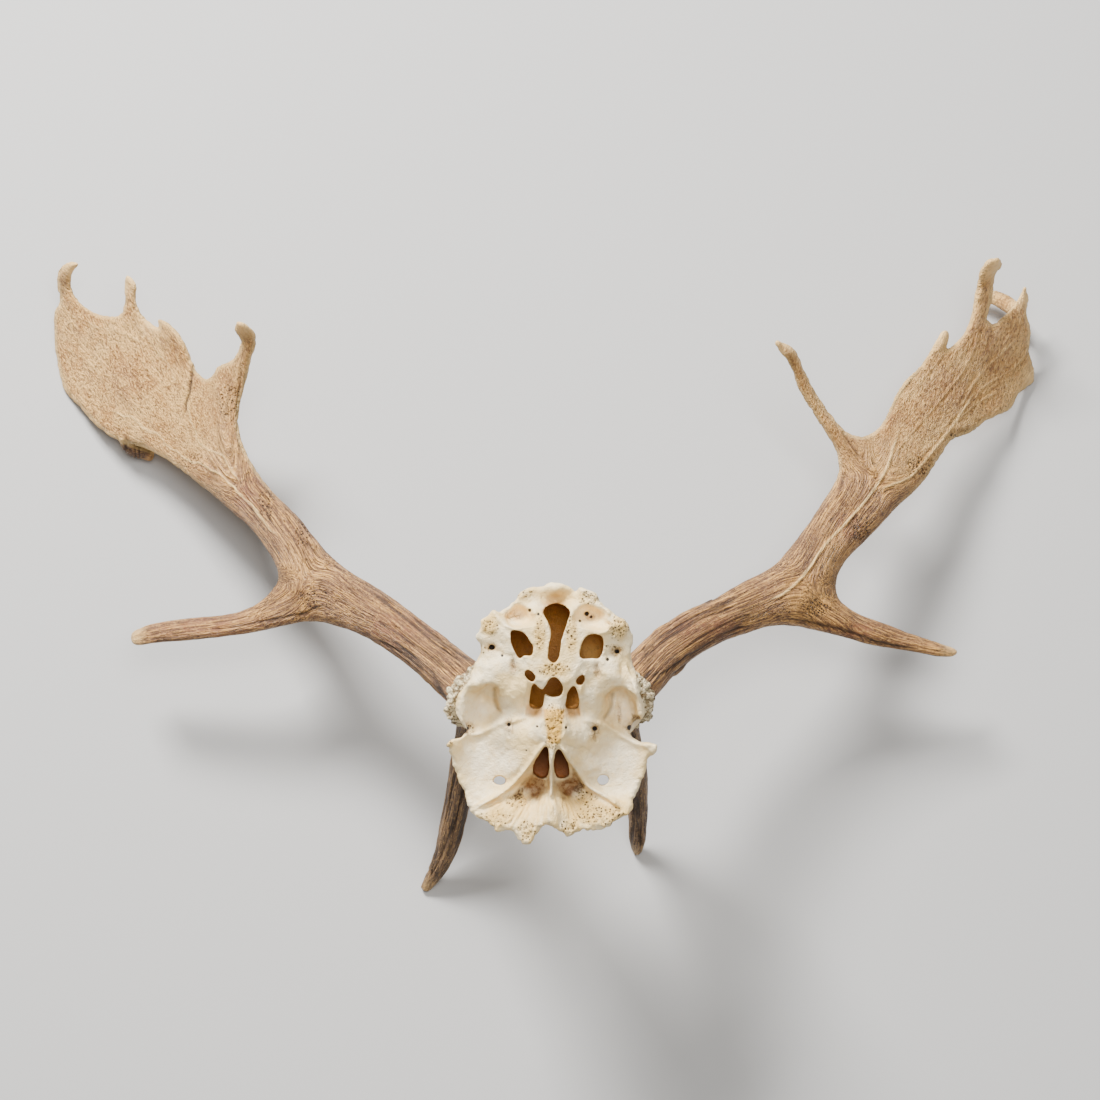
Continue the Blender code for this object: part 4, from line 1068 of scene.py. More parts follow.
def fan_places(x, y, z, spec):
    """Offsets along and across a palm's texture, which spreads from a focus near the palm's foot."""
    fx, fy = spec["fan_focus"]
    outward = math.atan2(PALM_MIDDLE[1] - fy, math.copysign(PALM_MIDDLE[0], fx) - fx)
    angle = np.arctan2(y - fy, x - fx) - outward
    angle = (angle + math.pi) % (2 * math.pi) - math.pi
    return np.column_stack([np.hypot(x - fx, y - fy), angle * FAN_RADIUS, z])


def weather_antler(obj, spec, depth):
    """Cuts the antler's furrows, veins and pits into its skin, and paints where each finish goes."""
    points, normals = points_of(obj), normals_of(obj)
    x, y = seen_places(points)
    seed = spec["seed"]
    zone = antler_zones(points, normals, spec)
    palm, brow, tip, stem = zone["palm"], zone["brow"], zone["tip"], zone["stem"]
    spines = antler_spines(spec)
    brow_spine = spines.pop(len(spec["spines"]))
    grain = flow(points, spines)
    grain += brow[:, None] * (flow(points, [brow_spine]) - grain)
    wander = 1.2 * noise(points / 11, seed + 50) + 0.4 * noise(points / 4, seed + 51)
    raised, troughs = strokes(x + wander, y + wander, spec["veins"])
    cuts = strokes(x + 0.6 * wander, y - 0.4 * wander, spec["furrows"])[0]
    fan = fan_places(x, y, points[:, 2], spec)
    some = ramp(noise(points / 24, seed + 6), -0.35, 0.4)
    coarse = furrowed(grain, *COARSE_FURROWS, seed)
    fine = furrowed(grain, *FINE_FURROWS, seed + 1)
    pores = 1 - ramp(scatter_distance(points / SKIN_PORE_WIDE, seed + 2), *SKIN_PORE_SIZE)
    pebbles = ramp(scatter_distance(points / PEBBLE_WIDE, seed + 12), *PEBBLE_GAP)
    pocks = 1 - ramp(scatter_distance(points / POCK_WIDE, seed + 7), *POCK_SIZE)
    rough = (1 - palm) * (1 - 0.75 * tip) * (1 - zone["burr"])
    furrow = rough * coarse * (0.3 + 0.7 * some) * (0.45 + 0.55 * stem + 0.3 * brow)
    scratch = rough * fine * (0.4 + 0.4 * stem)
    sunk = furrow + 0.35 * scratch + cuts * zone["front"] + 0.8 * zone["pitted"] * pores
    zone["furrow"] = np.clip(sunk, 0, 1)
    move = (
        GROWTH
        + SWELLING * noise(points / SWELLING_WIDE, seed + 3)
        + RIPPLE * noise(points / RIPPLE_WIDE, seed + 8)
        - depth * (FURROW_DEEP * furrow + SCRATCH_DEEP * scratch)
        - PALM_GRAIN_DEEP * palm * (1 - tip) * (furrowed(fan, *PALM_GRAIN, seed + 9) + 0.7 * pores)
        - POCK_DEEP * palm * pocks * ramp(noise(points / 18, seed + 10), 0.0, 0.5)
        + (raised - troughs) * zone["front"] * (0.75 + VEIN_RIPPLE * noise(points / 7, seed + 13))
        - CUT_DEEP * cuts * zone["front"]
        - PITTED_DEEP * zone["pitted"] * pores
        - RIM_DEEP * zone["rim"] * ramp(noise(points / 3.5, seed + 11), -0.2, 0.6)
        + zone["burr"] * PEARL_ROUGH * noise(points / PEARL_ROUGH_WIDE, seed + 4)
        - zone["burr"] * PEARL_GAP_DEEP * pebbles
    )
    if spec["stub"]:
        away = np.linalg.norm(points - np.array(true_place(*spec["stub"])), axis=1)
        stub = 1 - ramp(away, *STUB_REACH)
        creases = furrowed(points[:, [2, 0, 1]] / np.array([1.0, 1.0, 3.0]), *STUB_CREASES, seed + 5)
        move -= STUB_DEEP * stub * creases
        zone["furrow"] = np.maximum(zone["furrow"], stub * creases)
        zone["dark"] = np.maximum(zone["dark"], 0.8 * stub)
        zone["tip"] *= 1 - stub
        zone["palm"] *= 1 - stub
    move_points(obj, points + normals * move[:, None])
    paint(obj, "flow", grain)
    paint(obj, "fan", fan)
    paint(obj, "vein", np.clip(raised * zone["front"], 0, 1))
    paint(obj, "gaps", zone["burr"] * pebbles)
    for name in ("palm", "furrow", "tip", "brow", "burr", "stem", "rim", "red", "dark", "pale", "pitted"):
        paint(obj, name, zone[name])


def build_antler(spec, depth):
    """One antler, from its foot on the pedicle to its tips."""
    side = spec["side"]
    parts = [antler_plate(spec), tube("stem", spec["stem"])]
    parts += [tube("tube", places) for places in spec["tubes"]]
    parts += burr(spec)
    whole = join(parts, side + "_antler")
    melt(whole, ANTLER_VOXEL, SMOOTHING)
    middle, axis = burr_axis(spec)
    carve(whole, cutter_box(middle - axis * BURR_FOOT, -axis, BEAM_CUT, CUT_LENGTH))
    weather_antler(whole, spec, depth)
    place_mesh(whole, skull_frame())
    keep_inside(whole)
    activate(whole)
    bpy.ops.object.shade_smooth()
    nodes = [f"{side}_{part}" for part in ("beam", "brow_tine", "trez_tine", "palm", "back_tine")]
    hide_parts(*nodes)
    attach(whole, "root")
    return whole


def underside(x, y):
    """Height of the skull plate's underside, with its thin walls, grooves and small holes."""
    height = thin_plate(UNDERSIDE)(x, y)
    height += strokes(x, y, SKULL_RIDGES)[0]
    height -= strokes(x, y, SKULL_GROOVES)[0]
    height -= steps_down(x, y, SKULL_STEPS)
    for px, py, radius, depth in SKULL_PITS:
        height -= depth * np.exp(-(((x - px) ** 2 + (y - py) ** 2) / radius**2) ** 2)
    return height


def spongy_mask(x, y):
    mask = np.zeros(len(x))
    for px, py, wide, high, strength in SPONGY:
        away = np.hypot((x - px) / wide, (y - py) / high)
        mask = np.maximum(mask, strength * (1 - ramp(away, 0.55, 1.15)))
    return np.clip(mask, 0, 1)


def skull_block():
    """The skull plate as one solid between its two faces, before it is hollowed."""
    outline = smooth_through(SKULL_OUTLINE, True, 5)
    block = outline_block("skull_block", outline, BLOCK_HALF)
    melt(block, SKULL_VOXEL, 0)
    points = points_of(block)
    x, y = points[:, 0], points[:, 1]
    side = points[:, 2] / BLOCK_HALF
    below = underside(x, y)
    above = np.minimum(thin_plate(UPPER_SIDE)(x, y), below - LEAST_BONE)
    rim = below - np.minimum(RIM_DEPTH, 0.5 * (below - above))
    reach = distance_to_line(x, y, outline, closed=True)[0]
    crown = np.clip((y - CROWN_FROM) / (CROWN_TO - CROWN_FROM), 0, 1)
    edge_above = EDGE_ABOVE_FACE + (EDGE_ABOVE_CROWN - EDGE_ABOVE_FACE) * crown
    toward_face = rim + side * (below - rim) * roundness(reach, EDGE_BELOW)
    toward_crown = rim + side * (rim - above) * roundness(reach, edge_above)
    move_points(block, as_placed(x, y, np.where(side > 0, toward_face, toward_crown)))
    return block


def brain_hollow():
    bpy.ops.mesh.primitive_uv_sphere_add(segments=48, ring_count=24, radius=MM)
    hollow = bpy.context.object
    place_mesh(hollow, Matrix.Translation(Vector(BRAIN_MIDDLE) * MM) @ Matrix.Diagonal((*BRAIN_HALF, 1)))
    return hollow


def brow_hole(x, y, half_x, half_y):
    bpy.ops.mesh.primitive_cylinder_add(vertices=20, radius=MM, depth=THROUGH * MM)
    hole = bpy.context.object
    place = Matrix.Translation((x * MM, y * MM, -THROUGH / 2 * MM))
    place_mesh(hole, place @ Matrix.Diagonal((half_x, half_y, 1, 1)))
    move_points(hole, as_placed(*points_of(hole).T))
    return hole


def patches(x, y, outlines, soft):
    mask = np.zeros(len(x))
    for outline in outlines:
        mask = np.maximum(mask, inside_patch(x, y, outline, soft))
    return mask


def near_opening(x, y):
    """1 in the outline of an opening and close around it."""
    mask = np.zeros(len(x))
    for outline, _ in OPENINGS.values():
        away = distance_to_line(x, y, smooth_through(outline, True, 3), closed=True)[0]
        mask = np.maximum(mask, inside_patch(x, y, outline, 0.1))
        mask = np.maximum(mask, 1 - ramp(away, *WALL_REACH))
    return mask


def hollow_mask(points, normals, under):
    """1 in the brain's hollow and on the walls of the openings, 0 on the crown's outer skin. under is how far
    each point lies below the underside."""
    x, y = seen_places(points)
    z = points[:, 2]
    middle, half = np.array(BRAIN_MIDDLE), np.array(BRAIN_HALF)
    inside = 1 - ramp(np.linalg.norm((points - middle) / half, axis=1), *HOLLOW_SKIN)
    clear_of_crown = ramp(z - thin_plate(UPPER_SIDE)(x, y), *CROWN_BONE)
    outward = np.einsum("ij,ij->i", normals, points - middle) > 0
    skin = ramp(-z, *CROWN_DEPTH) * outward * (normals[:, 2] < 0.3) * (y > 0)
    walls = ramp(under, *WALL_FADE) * clear_of_crown * near_opening(x, y) * (1 - skin)
    return np.maximum(inside, walls)


def weather_skull(obj):
    """Gives the bone its pores, fan of fibres and roughness, and paints where each finish goes."""
    points, normals = points_of(obj), normals_of(obj)
    x, y = seen_places(points)
    z = points[:, 2]
    under = np.minimum(underside(x, y), 0) - z
    near_face = 1 - ramp(under, *PAINT_FADE)
    within = 1 - ramp(under, *BROWN_FADE)
    up = ramp(normals[:, 2], 0.0, 0.4)
    edge = distance_to_line(x, y, smooth_through(SKULL_OUTLINE, True, 2), closed=True)[0]
    spongy = np.maximum(spongy_mask(x, y), inside_patch(x, y, SPONGY_STRIP, STRIP_SOFT)) * near_face
    pore = 1 - ramp(scatter_distance(points / PORE_GRAIN, 5), *PORE_SIZE)
    small_pore = 1 - ramp(scatter_distance(points / SMALL_PORE_GRAIN, 6), *PORE_SIZE)
    hollow = hollow_mask(points, normals, under)
    from_root_x, from_root_y = x - NOSE_ROOT[0], y - NOSE_ROOT[1]
    angle = np.arctan2(from_root_x, -from_root_y)
    radius = np.hypot(from_root_x, from_root_y)
    fan = ramp(-y, *FAN_Y) * (1 - ramp(np.abs(angle), *FAN_ANGLE)) * up * near_face
    fibres = noise(np.column_stack([angle * 30, radius / 7, np.zeros(len(x))]), 7)
    temples = ramp(np.abs(x), *TEMPLE_X) * ramp(y, *TEMPLE_Y) * (1 - ramp(edge, *TEMPLE_EDGE)) * near_face
    teeth = (1 - ramp(edge, *TEETH_EDGE)) * (0.45 + 0.55 * ramp(-y, *TEETH_Y))
    jag = noise(np.column_stack([y / 1.7, x / (2.5 + 3.5 * (np.abs(x) > 25)), z / 6]), 10)
    rough = np.maximum(spongy, 0.15) * (1 - hollow)
    move = (
        BONE_SWELLING * noise(points / 11, 9) * (1 - spongy)
        + TEMPLE_ROUGH * temples * noise(points / 4, 11)
        + BONE_RIPPLE * (1 - spongy) * (1 - hollow) * noise(points / 3.2, 12)
        - PORE_DEEP * spongy * pore
        - SMALL_PORE_DEEP * spongy * small_pore
        + SPONGY_ROUGH * rough * noise(points / 1.6, 8)
        + FIBRE_DEEP * fan * fibres
        + TEETH_DEEP * teeth * jag
    )
    move_points(obj, points + normals * move[:, None])
    # The small holes are painted near black: painted shade down in them.
    hole = np.zeros(len(x))
    for px, py, wide, _ in SKULL_PITS:
        hole = np.maximum(hole, np.exp(-(((x - px) ** 2 + (y - py) ** 2) / wide**2) ** 2))
    paint(obj, "hollow", hollow)
    paint(obj, "spongy", spongy)
    # The pores are painted dark: painted shade down in them.
    paint(obj, "pore", np.clip(spongy * np.maximum(pore, 0.6 * small_pore), 0, 1))
    paint(obj, "hole", hole * near_face)
    # Painted shade: the grooves are painted darker, as the shade down in them.
    paint(obj, "crease_shade", np.clip(strokes(x, y, SKULL_GROOVES)[0] / 2.5, 0, 1) * near_face)
    paint(obj, "fan", fan * (0.5 + 0.5 * fibres))
    paint(obj, "strip", inside_patch(x, y, SPONGY_STRIP, STRIP_SOFT) * near_face)
    # Painted shade on the shelves.
    paint(obj, "shelf_shade", patches(x, y, SHADED_SHELVES, PATCH_SOFT) * near_face)
    # The tan and pinkish tints painted here are painted shade.
    for name, blobs in TINTS.items():
        paint(obj, name, ellipses(x, y, blobs) * near_face)
    paint(obj, "brown", patches(x + 0.5 * jag, y + 0.5 * jag, BROWN_PATCHES, PATCH_SOFT) * within)
    paint(obj, "shadowed", patches(x + jag, y + jag, DARK_PATCHES, DARK_SOFT) * within)
    # A painted pool of light inside the hollow behind the right window.
    paint(obj, "painted_light", ellipses(x, y, [PAINTED_LIGHT_BLOB]))
    # The nose pits are painted darker: painted shade.
    paint(obj, "nose_pit_shade", ellipses(x, y, [NOSE_SHADE_BLOB], 0.8, 1.1))


def build_skull():
    """The skull plate: hollowed by the brain, pierced, and sawn flat at z = 0."""
    parts = [skull_block()]
    parts += [tube("pedicle", spec["pedicle"]) for spec in (LEFT, RIGHT)]
    plate = join(parts, "skull_bone")
    melt(plate, SKULL_VOXEL, 1)
    for spec in (LEFT, RIGHT):
        middle, axis = burr_axis(spec)
        carve(plate, cutter_box(middle - axis * (BURR_FOOT + BURR_GAP), axis, PEDICLE_CUT, CUT_LENGTH))
    carve(plate, cutter_box((0, 0, 0), (0, 0, 1), FACE_CUT, CUT_LENGTH))
    carve(plate, brain_hollow())
    for name, (outline, depth) in OPENINGS.items():
        carve(plate, outline_block(name, smooth_through(outline, True, 3), depth))
    for hole in BROW_HOLES:
        carve(plate, brow_hole(*hole))
    melt(plate, SKULL_VOXEL, 2)
    weather_skull(plate)
    place_mesh(plate, skull_frame())
    keep_inside(plate)
    activate(plate)
    bpy.ops.object.shade_smooth()
    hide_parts("skull_plate")
    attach(plate, "root")
    return plate


class Wire:
    """A shader socket in an expression: + - and * add Math nodes."""

    def __init__(self, finish, socket):
        self.finish = finish
        self.socket = socket

    def math(self, operation, first, second):
        return self.finish.node("ShaderNodeMath", {"operation": operation}, {0: first, 1: second})

    def __add__(self, other):
        return self.math("ADD", self, other)

    def __radd__(self, other):
        return self.math("ADD", other, self)

    def __sub__(self, other):
        return self.math("SUBTRACT", self, other)

    def __rsub__(self, other):
        return self.math("SUBTRACT", other, self)

    def __mul__(self, other):
        return self.math("MULTIPLY", self, other)

    def __rmul__(self, other):
        return self.math("MULTIPLY", other, self)

    def absolute(self):
        return self.math("ABSOLUTE", self, 0.0)

    def clamped(self):
        return self.finish.node("ShaderNodeClamp", {}, {0: self})


class Finish:
    """A material under construction."""

    def __init__(self, name):
        self.material = bpy.data.materials.new(name)
        self.material.use_nodes = True
        self.tree = self.material.node_tree
        self.shader = self.tree.nodes["Principled BSDF"]

    def node(self, kind, settings, inputs, output=0):
        """Adds a node with its settings and inputs, and gives one of its outputs as a wire."""
        made = self.tree.nodes.new(kind)
        for key, value in settings.items():
            setattr(made, key, value)
        for key, value in inputs.items():
            if isinstance(value, Wire):
                self.tree.links.new(value.socket, made.inputs[key])
            else:
                made.inputs[key].default_value = value
        return Wire(self, made.outputs[output])

    def attribute(self, name):
        return self.node("ShaderNodeAttribute", {"attribute_name": name}, {}, "Fac")

    def vector_attribute(self, name):
        return self.node("ShaderNodeAttribute", {"attribute_name": name}, {}, "Vector")

    def millimetres(self):
        """Object coordinates in millimetres."""
        place = self.node("ShaderNodeTexCoord", {}, {}, "Object")
        return self.node("ShaderNodeVectorMath", {"operation": "SCALE"}, {0: place, "Scale": 1 / MM})

    def stretched(self, vector, scale):
        return self.node("ShaderNodeMapping", {}, {"Vector": vector, "Scale": scale})

    def noise(self, vector, scale, detail=3.0, rough=0.55):
        inputs = {"Vector": vector, "Scale": scale, "Detail": detail, "Roughness": rough}
        return self.node("ShaderNodeTexNoise", {}, inputs)

    def cells(self, vector, scale, feature="F1"):
        settings = {"feature": feature}
        return self.node("ShaderNodeTexVoronoi", settings, {"Vector": vector, "Scale": scale}, "Distance")

    def steps(self, value, low, high, from_value=0.0, to_value=1.0):
        """value taken from low..high to from_value..to_value, smoothly."""
        inputs = {0: value, 1: low, 2: high, 3: from_value, 4: to_value}
        return self.node("ShaderNodeMapRange", {"interpolation_type": "SMOOTHSTEP"}, inputs)

    def blend(self, factor, first, second):
        """Mixes two colours, each a wire or a colour setting."""
        first, second = (color if isinstance(color, Wire) else rgba(color) for color in (first, second))
        settings = {"data_type": "RGBA", "blend_type": "MIX"}
        return self.node("ShaderNodeMix", settings, {0: factor, 6: first, 7: second}, 2)

    def bump(self, height, distance):
        return self.node("ShaderNodeBump", {}, {"Strength": 1.0, "Distance": distance, "Height": height})

    def use(self, **inputs):
        """Sets the shader's own sockets, given as Base_Color and so on."""
        for key, value in inputs.items():
            socket = self.shader.inputs[key.replace("_", " ")]
            if isinstance(value, Wire):
                self.tree.links.new(value.socket, socket)
            else:
                socket.default_value = value


def srgb(red, green, blue):
    """A colour given as on a screen, 0 to 255, as the shader's linear values."""
    linear = [((c / 255 + 0.055) / 1.055) ** 2.4 for c in (red, green, blue)]
    return (*linear, 1.0)


def rgba(color):
    return (*color, 1.0)


def antler_finish(look):
    """Weathered antler: tan fibres on the beam, beige flecked palm, brown brow tines darkened with painted
    shade, cream tips.
    """
    made = Finish(ANTLER_FINISH)
    place = made.millimetres()
    grain = made.vector_attribute("flow")
    palm, furrow, vein, rim = (made.attribute(name) for name in ("palm", "furrow", "vein", "rim"))
    tip, brow, knobs, stem = (made.attribute(name) for name in ("tip", "brow", "burr", "stem"))
    red, dark, pale = (made.attribute(name) for name in ("red", "dark", "pale"))
    gaps, pitted = (made.attribute(name) for name in ("gaps", "pitted"))
    fibres = made.noise(made.stretched(grain, (0.030, 1.25, 1.25)), 1.0, 2.0, 0.5)
    streaks = made.noise(made.stretched(grain, (0.020, 0.38, 0.38)), 1.0, 4.0, 0.6)
    lines = made.noise(made.stretched(grain, (0.020, 0.50, 0.50)), 1.0, 2.0, 0.5)
    spread = made.vector_attribute("fan")
    beads = made.noise(made.stretched(grain, (0.35, 1.0, 1.0)), 1.0, 3.0, 0.65)
    worms = made.noise(made.stretched(spread, (0.32, 1.05, 1.05)), 1.0, 3.0, 0.62)
    flecks = beads + (worms - beads) * palm
    glints = made.noise(place, 0.62, 2.0, 0.5)
    clouds = made.noise(place, 0.045, 3.0, 0.5)
    blotches = made.noise(place, 0.13, 3.0, 0.6)
    pits = made.steps(made.cells(place, 0.52), 0.18, 0.42, 1.0, 0.0)
    grooves = made.steps((lines - 0.5).absolute(), 0.0, 0.026, 1.0, 0.0) * made.steps(clouds, 0.36, 0.58)
    tone = fibres * 0.70 + streaks * 0.30 + (clouds - 0.5) * 0.30 - dark * 0.10 - stem * 0.015
    beam = made.blend(made.steps(tone, 0.39, 0.50), look.beam_dark, look.beam)
    beam = made.blend(made.steps(tone, 0.50, 0.60), beam, look.beam_light)
    patchy = made.steps(clouds * 0.6 + blotches * 0.4, 0.40, 0.60)
    flat = made.blend(patchy, look.palm, look.palm_light)
    weave = made.noise(made.stretched(spread, (0.03, 0.35, 0.35)), 1.0, 3.0, 0.6)
    flat = made.blend(made.steps(weave, 0.50, 0.62, 0.0, 0.6), flat, look.palm_light)
    flat = made.blend(made.steps(weave, 0.36, 0.46, 0.4, 0.0), flat, look.fleck)
    beam = made.blend(pale * made.steps(tone, 0.40, 0.56, 0.25, 0.75), beam, look.beam_light)
    color = made.blend(palm, beam, flat)
    strands = made.steps(fibres * 0.5 + streaks * 0.5, 0.42, 0.60)
    # The brow tines are painted dark brown: partly their own colour, partly painted shade where they lie
    # under the skull.
    twig = made.blend(strands, look.brow, look.brow_light)
    color = made.blend(brow * (1 - tip * 0.4), color, twig)
    color = made.blend(red * made.steps(blotches, 0.38, 0.62, 0.10, 0.55), color, look.red)
    plain = (1 - vein) * (1 - tip * 0.75)
    color = made.blend(made.steps(flecks, 0.53, 0.61) * (0.30 + palm * 0.55), color, look.palm_light)
    dark_flecks = made.steps(flecks, 0.38, 0.48, 1.0, 0.0) * (0.35 + palm * 0.4) * plain
    color = made.blend(dark_flecks, color, look.fleck)
    color = made.blend(made.steps(glints, 0.31, 0.38, 1.0, 0.0) * plain * 0.7, color, look.groove)
    color = made.blend(grooves * (1 - palm * 0.8) * plain * 0.75, color, look.groove)
    color = made.blend(pits * pitted * 0.8, color, look.groove)
    color = made.blend((furrow * 0.8).clamped(), color, look.groove)
    color = made.blend(dark * 0.35, color, look.groove)
    color = made.blend(made.steps(vein, 0.20, 0.85, 0.0, 0.62), color, look.vein)
    color = made.blend(rim * 0.5, color, look.vein)
    worn = tip * (1 - brow * 0.6)
    color = made.blend(worn * made.steps(streaks, 0.35, 0.6, 0.35, 0.8), color, look.tip)
    grit = made.noise(place, 0.55, 3.0, 0.6)
    pearls = made.blend(made.steps(grit, 0.34, 0.46), look.burr_dark, look.burr_light)
    pearls = made.blend(gaps * 0.85, pearls, look.burr_dark)
    color = made.blend(knobs, color, pearls)
    relief = fibres * (0.7 - 0.4 * palm) + streaks * 0.25 + flecks * (0.5 + 0.9 * palm)
    relief = relief - grooves * (0.3 - 0.2 * palm)
    relief = relief * (1 - tip * 0.6) - pits * pitted * 0.6 + grit * knobs
    made.use(
        Base_Color=color,
        Roughness=made.steps(tone, 0.4, 0.6, 0.62, 0.46) - tip * 0.10,
        Normal=made.bump(relief, ANTLER_BUMP),
    )
    return made.material


def bone_finish(look):
    """Dry creamy bone, yellow and porous where it is sawn, brown inside, with painted shade in its grooves,
    recesses, holes, pores and nose pits, and a painted pool of light in the hollow behind the right window.
    """
    made = Finish("weathered_bone")
    place = made.millimetres()
    hollow, spongy, pore = (made.attribute(name) for name in ("hollow", "spongy", "pore"))
    yellow, tan, cool, funnel_shade = (made.attribute(name) for name in ("yellow", "tan", "cool", "funnel_shade"))
    brown, shadowed, painted_light, nose_pit_shade = (made.attribute(name) for name in ("brown", "shadowed", "painted_light", "nose_pit_shade"))
    fan, crease_shade, hole, strip, shelf_shade = (
        made.attribute(name) for name in ("fan", "crease_shade", "hole", "strip", "shelf_shade")
    )
    clouds = made.noise(place, 0.06, 3.0, 0.5)
    mottle = made.noise(place, 0.28, 4.0, 0.6)
    grit = made.noise(place, 1.4, 3.0, 0.6)
    specks = made.noise(place, 0.85, 3.0, 0.6)
    open_bone = made.steps(spongy, 0.15, 0.5)
    holes = made.steps(made.cells(place, 0.46), 0.22, 0.32, 1.0, 0.0) * open_bone
    fine_holes = made.steps(made.cells(place, 0.85), 0.14, 0.26, 1.0, 0.0) * open_bone
    color = made.blend(made.steps(clouds, 0.38, 0.62), look.bone_warm, look.bone)
    color = made.blend(cool * 0.6, color, look.bone_cool)
    color = made.blend(made.steps(mottle, 0.48, 0.68, 0.0, 0.45), color, look.bone_warm)
    # Painted shade on the slope into the brain's opening.
    color = made.blend(funnel_shade * 0.8, color, look.funnel_shade_tint)
    color = made.blend(yellow * 0.55, color, look.spongy)
    color = made.blend(spongy * 0.4, color, look.spongy)
    color = made.blend(strip * 0.85, color, look.strip)
    # Painted shade in the recesses, in tan.
    color = made.blend(tan * made.steps(mottle, 0.38, 0.62, 0.15, 0.6), color, look.tan)
    color = made.blend(made.steps(fan, 0.25, 0.8, 0.0, 0.5), color, look.spongy)
    # Painted shade on the shelves below the lower holes.
    color = made.blend(shelf_shade * 0.75, color, look.tan)
    color = made.blend(brown * made.steps(mottle, 0.38, 0.6, 1.0, 0.8), color, look.brown)
    # Painted shade in the grooves.
    color = made.blend(crease_shade * 0.6, color, look.groove_shade)
    cracks = made.steps(made.cells(place, 0.22, "DISTANCE_TO_EDGE"), 0.0, 0.035, 1.0, 0.0)
    color = made.blend(cracks * tan * 0.8, color, look.brown)
    color = made.blend(shadowed * made.steps(specks, 0.4, 0.6, 1.0, 0.6), color, look.pore)
    dark_specks = made.steps(specks, 0.30, 0.37, 1.0, 0.0) * (0.2 + spongy * 0.6)
    color = made.blend(dark_specks, color, look.pore)
    # Painted shade: the pores and the finer and larger holes of the open bone painted dark.
    color = made.blend(made.steps(pore, 0.3, 0.85, 0.0, 0.8), color, look.pore)
    color = made.blend(fine_holes * (0.5 + strip * 0.4), color, look.brown)
    color = made.blend(holes * 0.9, color, look.pore)
    # Painted shade in the small holes.
    color = made.blend(made.steps(hole, 0.3, 0.7), color, look.hole_shade)
    # Painted light: the hollow painted lighter behind the right window.
    cavern = made.blend(painted_light, look.hollow, look.hollow_painted_light)
    cavern = made.blend(made.steps(mottle, 0.5, 0.7, 0.0, 0.4), cavern, look.hollow_dark)
    # Painted shade in the nose pits.
    cavern = made.blend(nose_pit_shade * 0.9, cavern, look.nose_pit_shade)
    color = made.blend(hollow, color, cavern)
    relief = grit * (0.3 + spongy) + mottle * 0.9 + specks * 0.6
    relief = relief - holes * 1.2 - fine_holes * 0.5 - cracks * tan * 0.6
    made.use(
        Base_Color=color,
        Roughness=made.steps(mottle, 0.3, 0.7, 0.5, 0.62),
        Normal=made.bump(relief, BONE_BUMP),
    )
    return made.material


def tint(label, text, red, green, blue):
    """A colour setting, with its default given as on a screen, 0 to 255."""
    default = srgb(red, green, blue)[:3]
    return FloatVectorProperty(name=label, description=text, subtype="COLOR", size=3, default=default)


class AntlerLook(bpy.types.PropertyGroup):
    """Colours of the antlers, and how deep they are furrowed."""

    furrow_depth: FloatProperty(
        name="Furrow depth", description="Depth of the beam's furrows, in millimetres", default=1.0, min=0.0
    )
    beam: tint("Beam", "Main colour of the beam", 142, 100, 60)
    beam_dark: tint("Beam, dark", "Its darker fibres", 88, 58, 36)
    beam_light: tint("Beam, light", "Its lighter fibres", 206, 152, 82)
    red: tint("Reddish", "Reddish places", 132, 76, 48)
    palm: tint("Palm", "Main colour of the palm", 196, 142, 76)
    palm_light: tint("Palm, light", "Its lighter clouds and flecks", 236, 186, 112)
    fleck: tint("Flecks", "Darker flecks", 132, 92, 52)
    # Dark brown of the brow tines, holding painted shade under the skull besides their own colour.
    brow: tint("Brow tines", "Colour of the brow tines", 78, 60, 44)
    brow_light: tint("Brow tines, light", "Their lighter fibres", 150, 116, 80)
    groove: tint("Grooves", "Colour down in grooves and pits", 44, 27, 16)
    vein: tint("Veins", "Colour of the raised veins", 248, 208, 138)
    tip: tint("Tips", "Colour of the rubbed tips", 226, 188, 126)
    burr_light: tint("Burr, light", "Colour of the burr's pearls", 252, 234, 190)
    burr_dark: tint("Burr, dark", "Colour between the burr's pearls", 112, 84, 44)


class BoneLook(bpy.types.PropertyGroup):
    """Colours of the skull plate."""

    bone: tint("Bone", "Main colour of the bone", 250, 230, 186)
    bone_warm: tint("Bone, warm", "Warmer clouds of the bone", 244, 212, 148)
    bone_cool: tint("Bone, cool", "Thin bone of the orbit roofs", 248, 232, 200)
    # Colour of the painted shade on the slope into the brain's opening.
    funnel_shade_tint: tint("Bone, pinkish", "Pinkish place above the brain's opening", 190, 136, 86)
    spongy: tint("Spongy bone", "Sawn or worn spongy bone", 242, 196, 104)
    # Dark of the pores, painted shade down in them; also the colour of the painted shadow and the dark
    # specks.
    pore: tint("Pores", "Colour down in the pores", 78, 52, 26)
    # Colour of the painted shade inside the small holes.
    hole_shade: tint("Small holes", "Colour inside the nerves' and vessels' holes", 34, 22, 12)
    strip: tint("Sawn strip", "The sawn spongy strip in the middle", 240, 184, 76)
    # Colour of the painted shade in the grooves.
    groove_shade: tint("Crevices", "Greyish dirt in the creases", 140, 112, 76)
    # Tan of the painted shade in the recesses, partly the bone's own tan.
    tan: tint("Recesses", "Tan in the recesses", 172, 120, 58)
    # Brown painted on the slopes beside the nose.
    brown: tint("Brown places", "Stained slopes beside the nose", 112, 72, 32)
    hollow: tint("Brain hollow", "Inside of the brain's hollow", 184, 126, 54)
    # Darker brown of the nose pits: the hollow's own brown with painted shade.
    nose_pit_shade: tint("Nose pits", "Inside of the two pits at the root of the nose", 126, 66, 14)
    # Painted light inside the hollow behind the right window.
    hollow_painted_light: tint("Brain hollow, light", "Its lighter part behind the right window", 255, 204, 116)
    hollow_dark: tint("Brain hollow, dark", "Its darker blotches", 140, 88, 36)


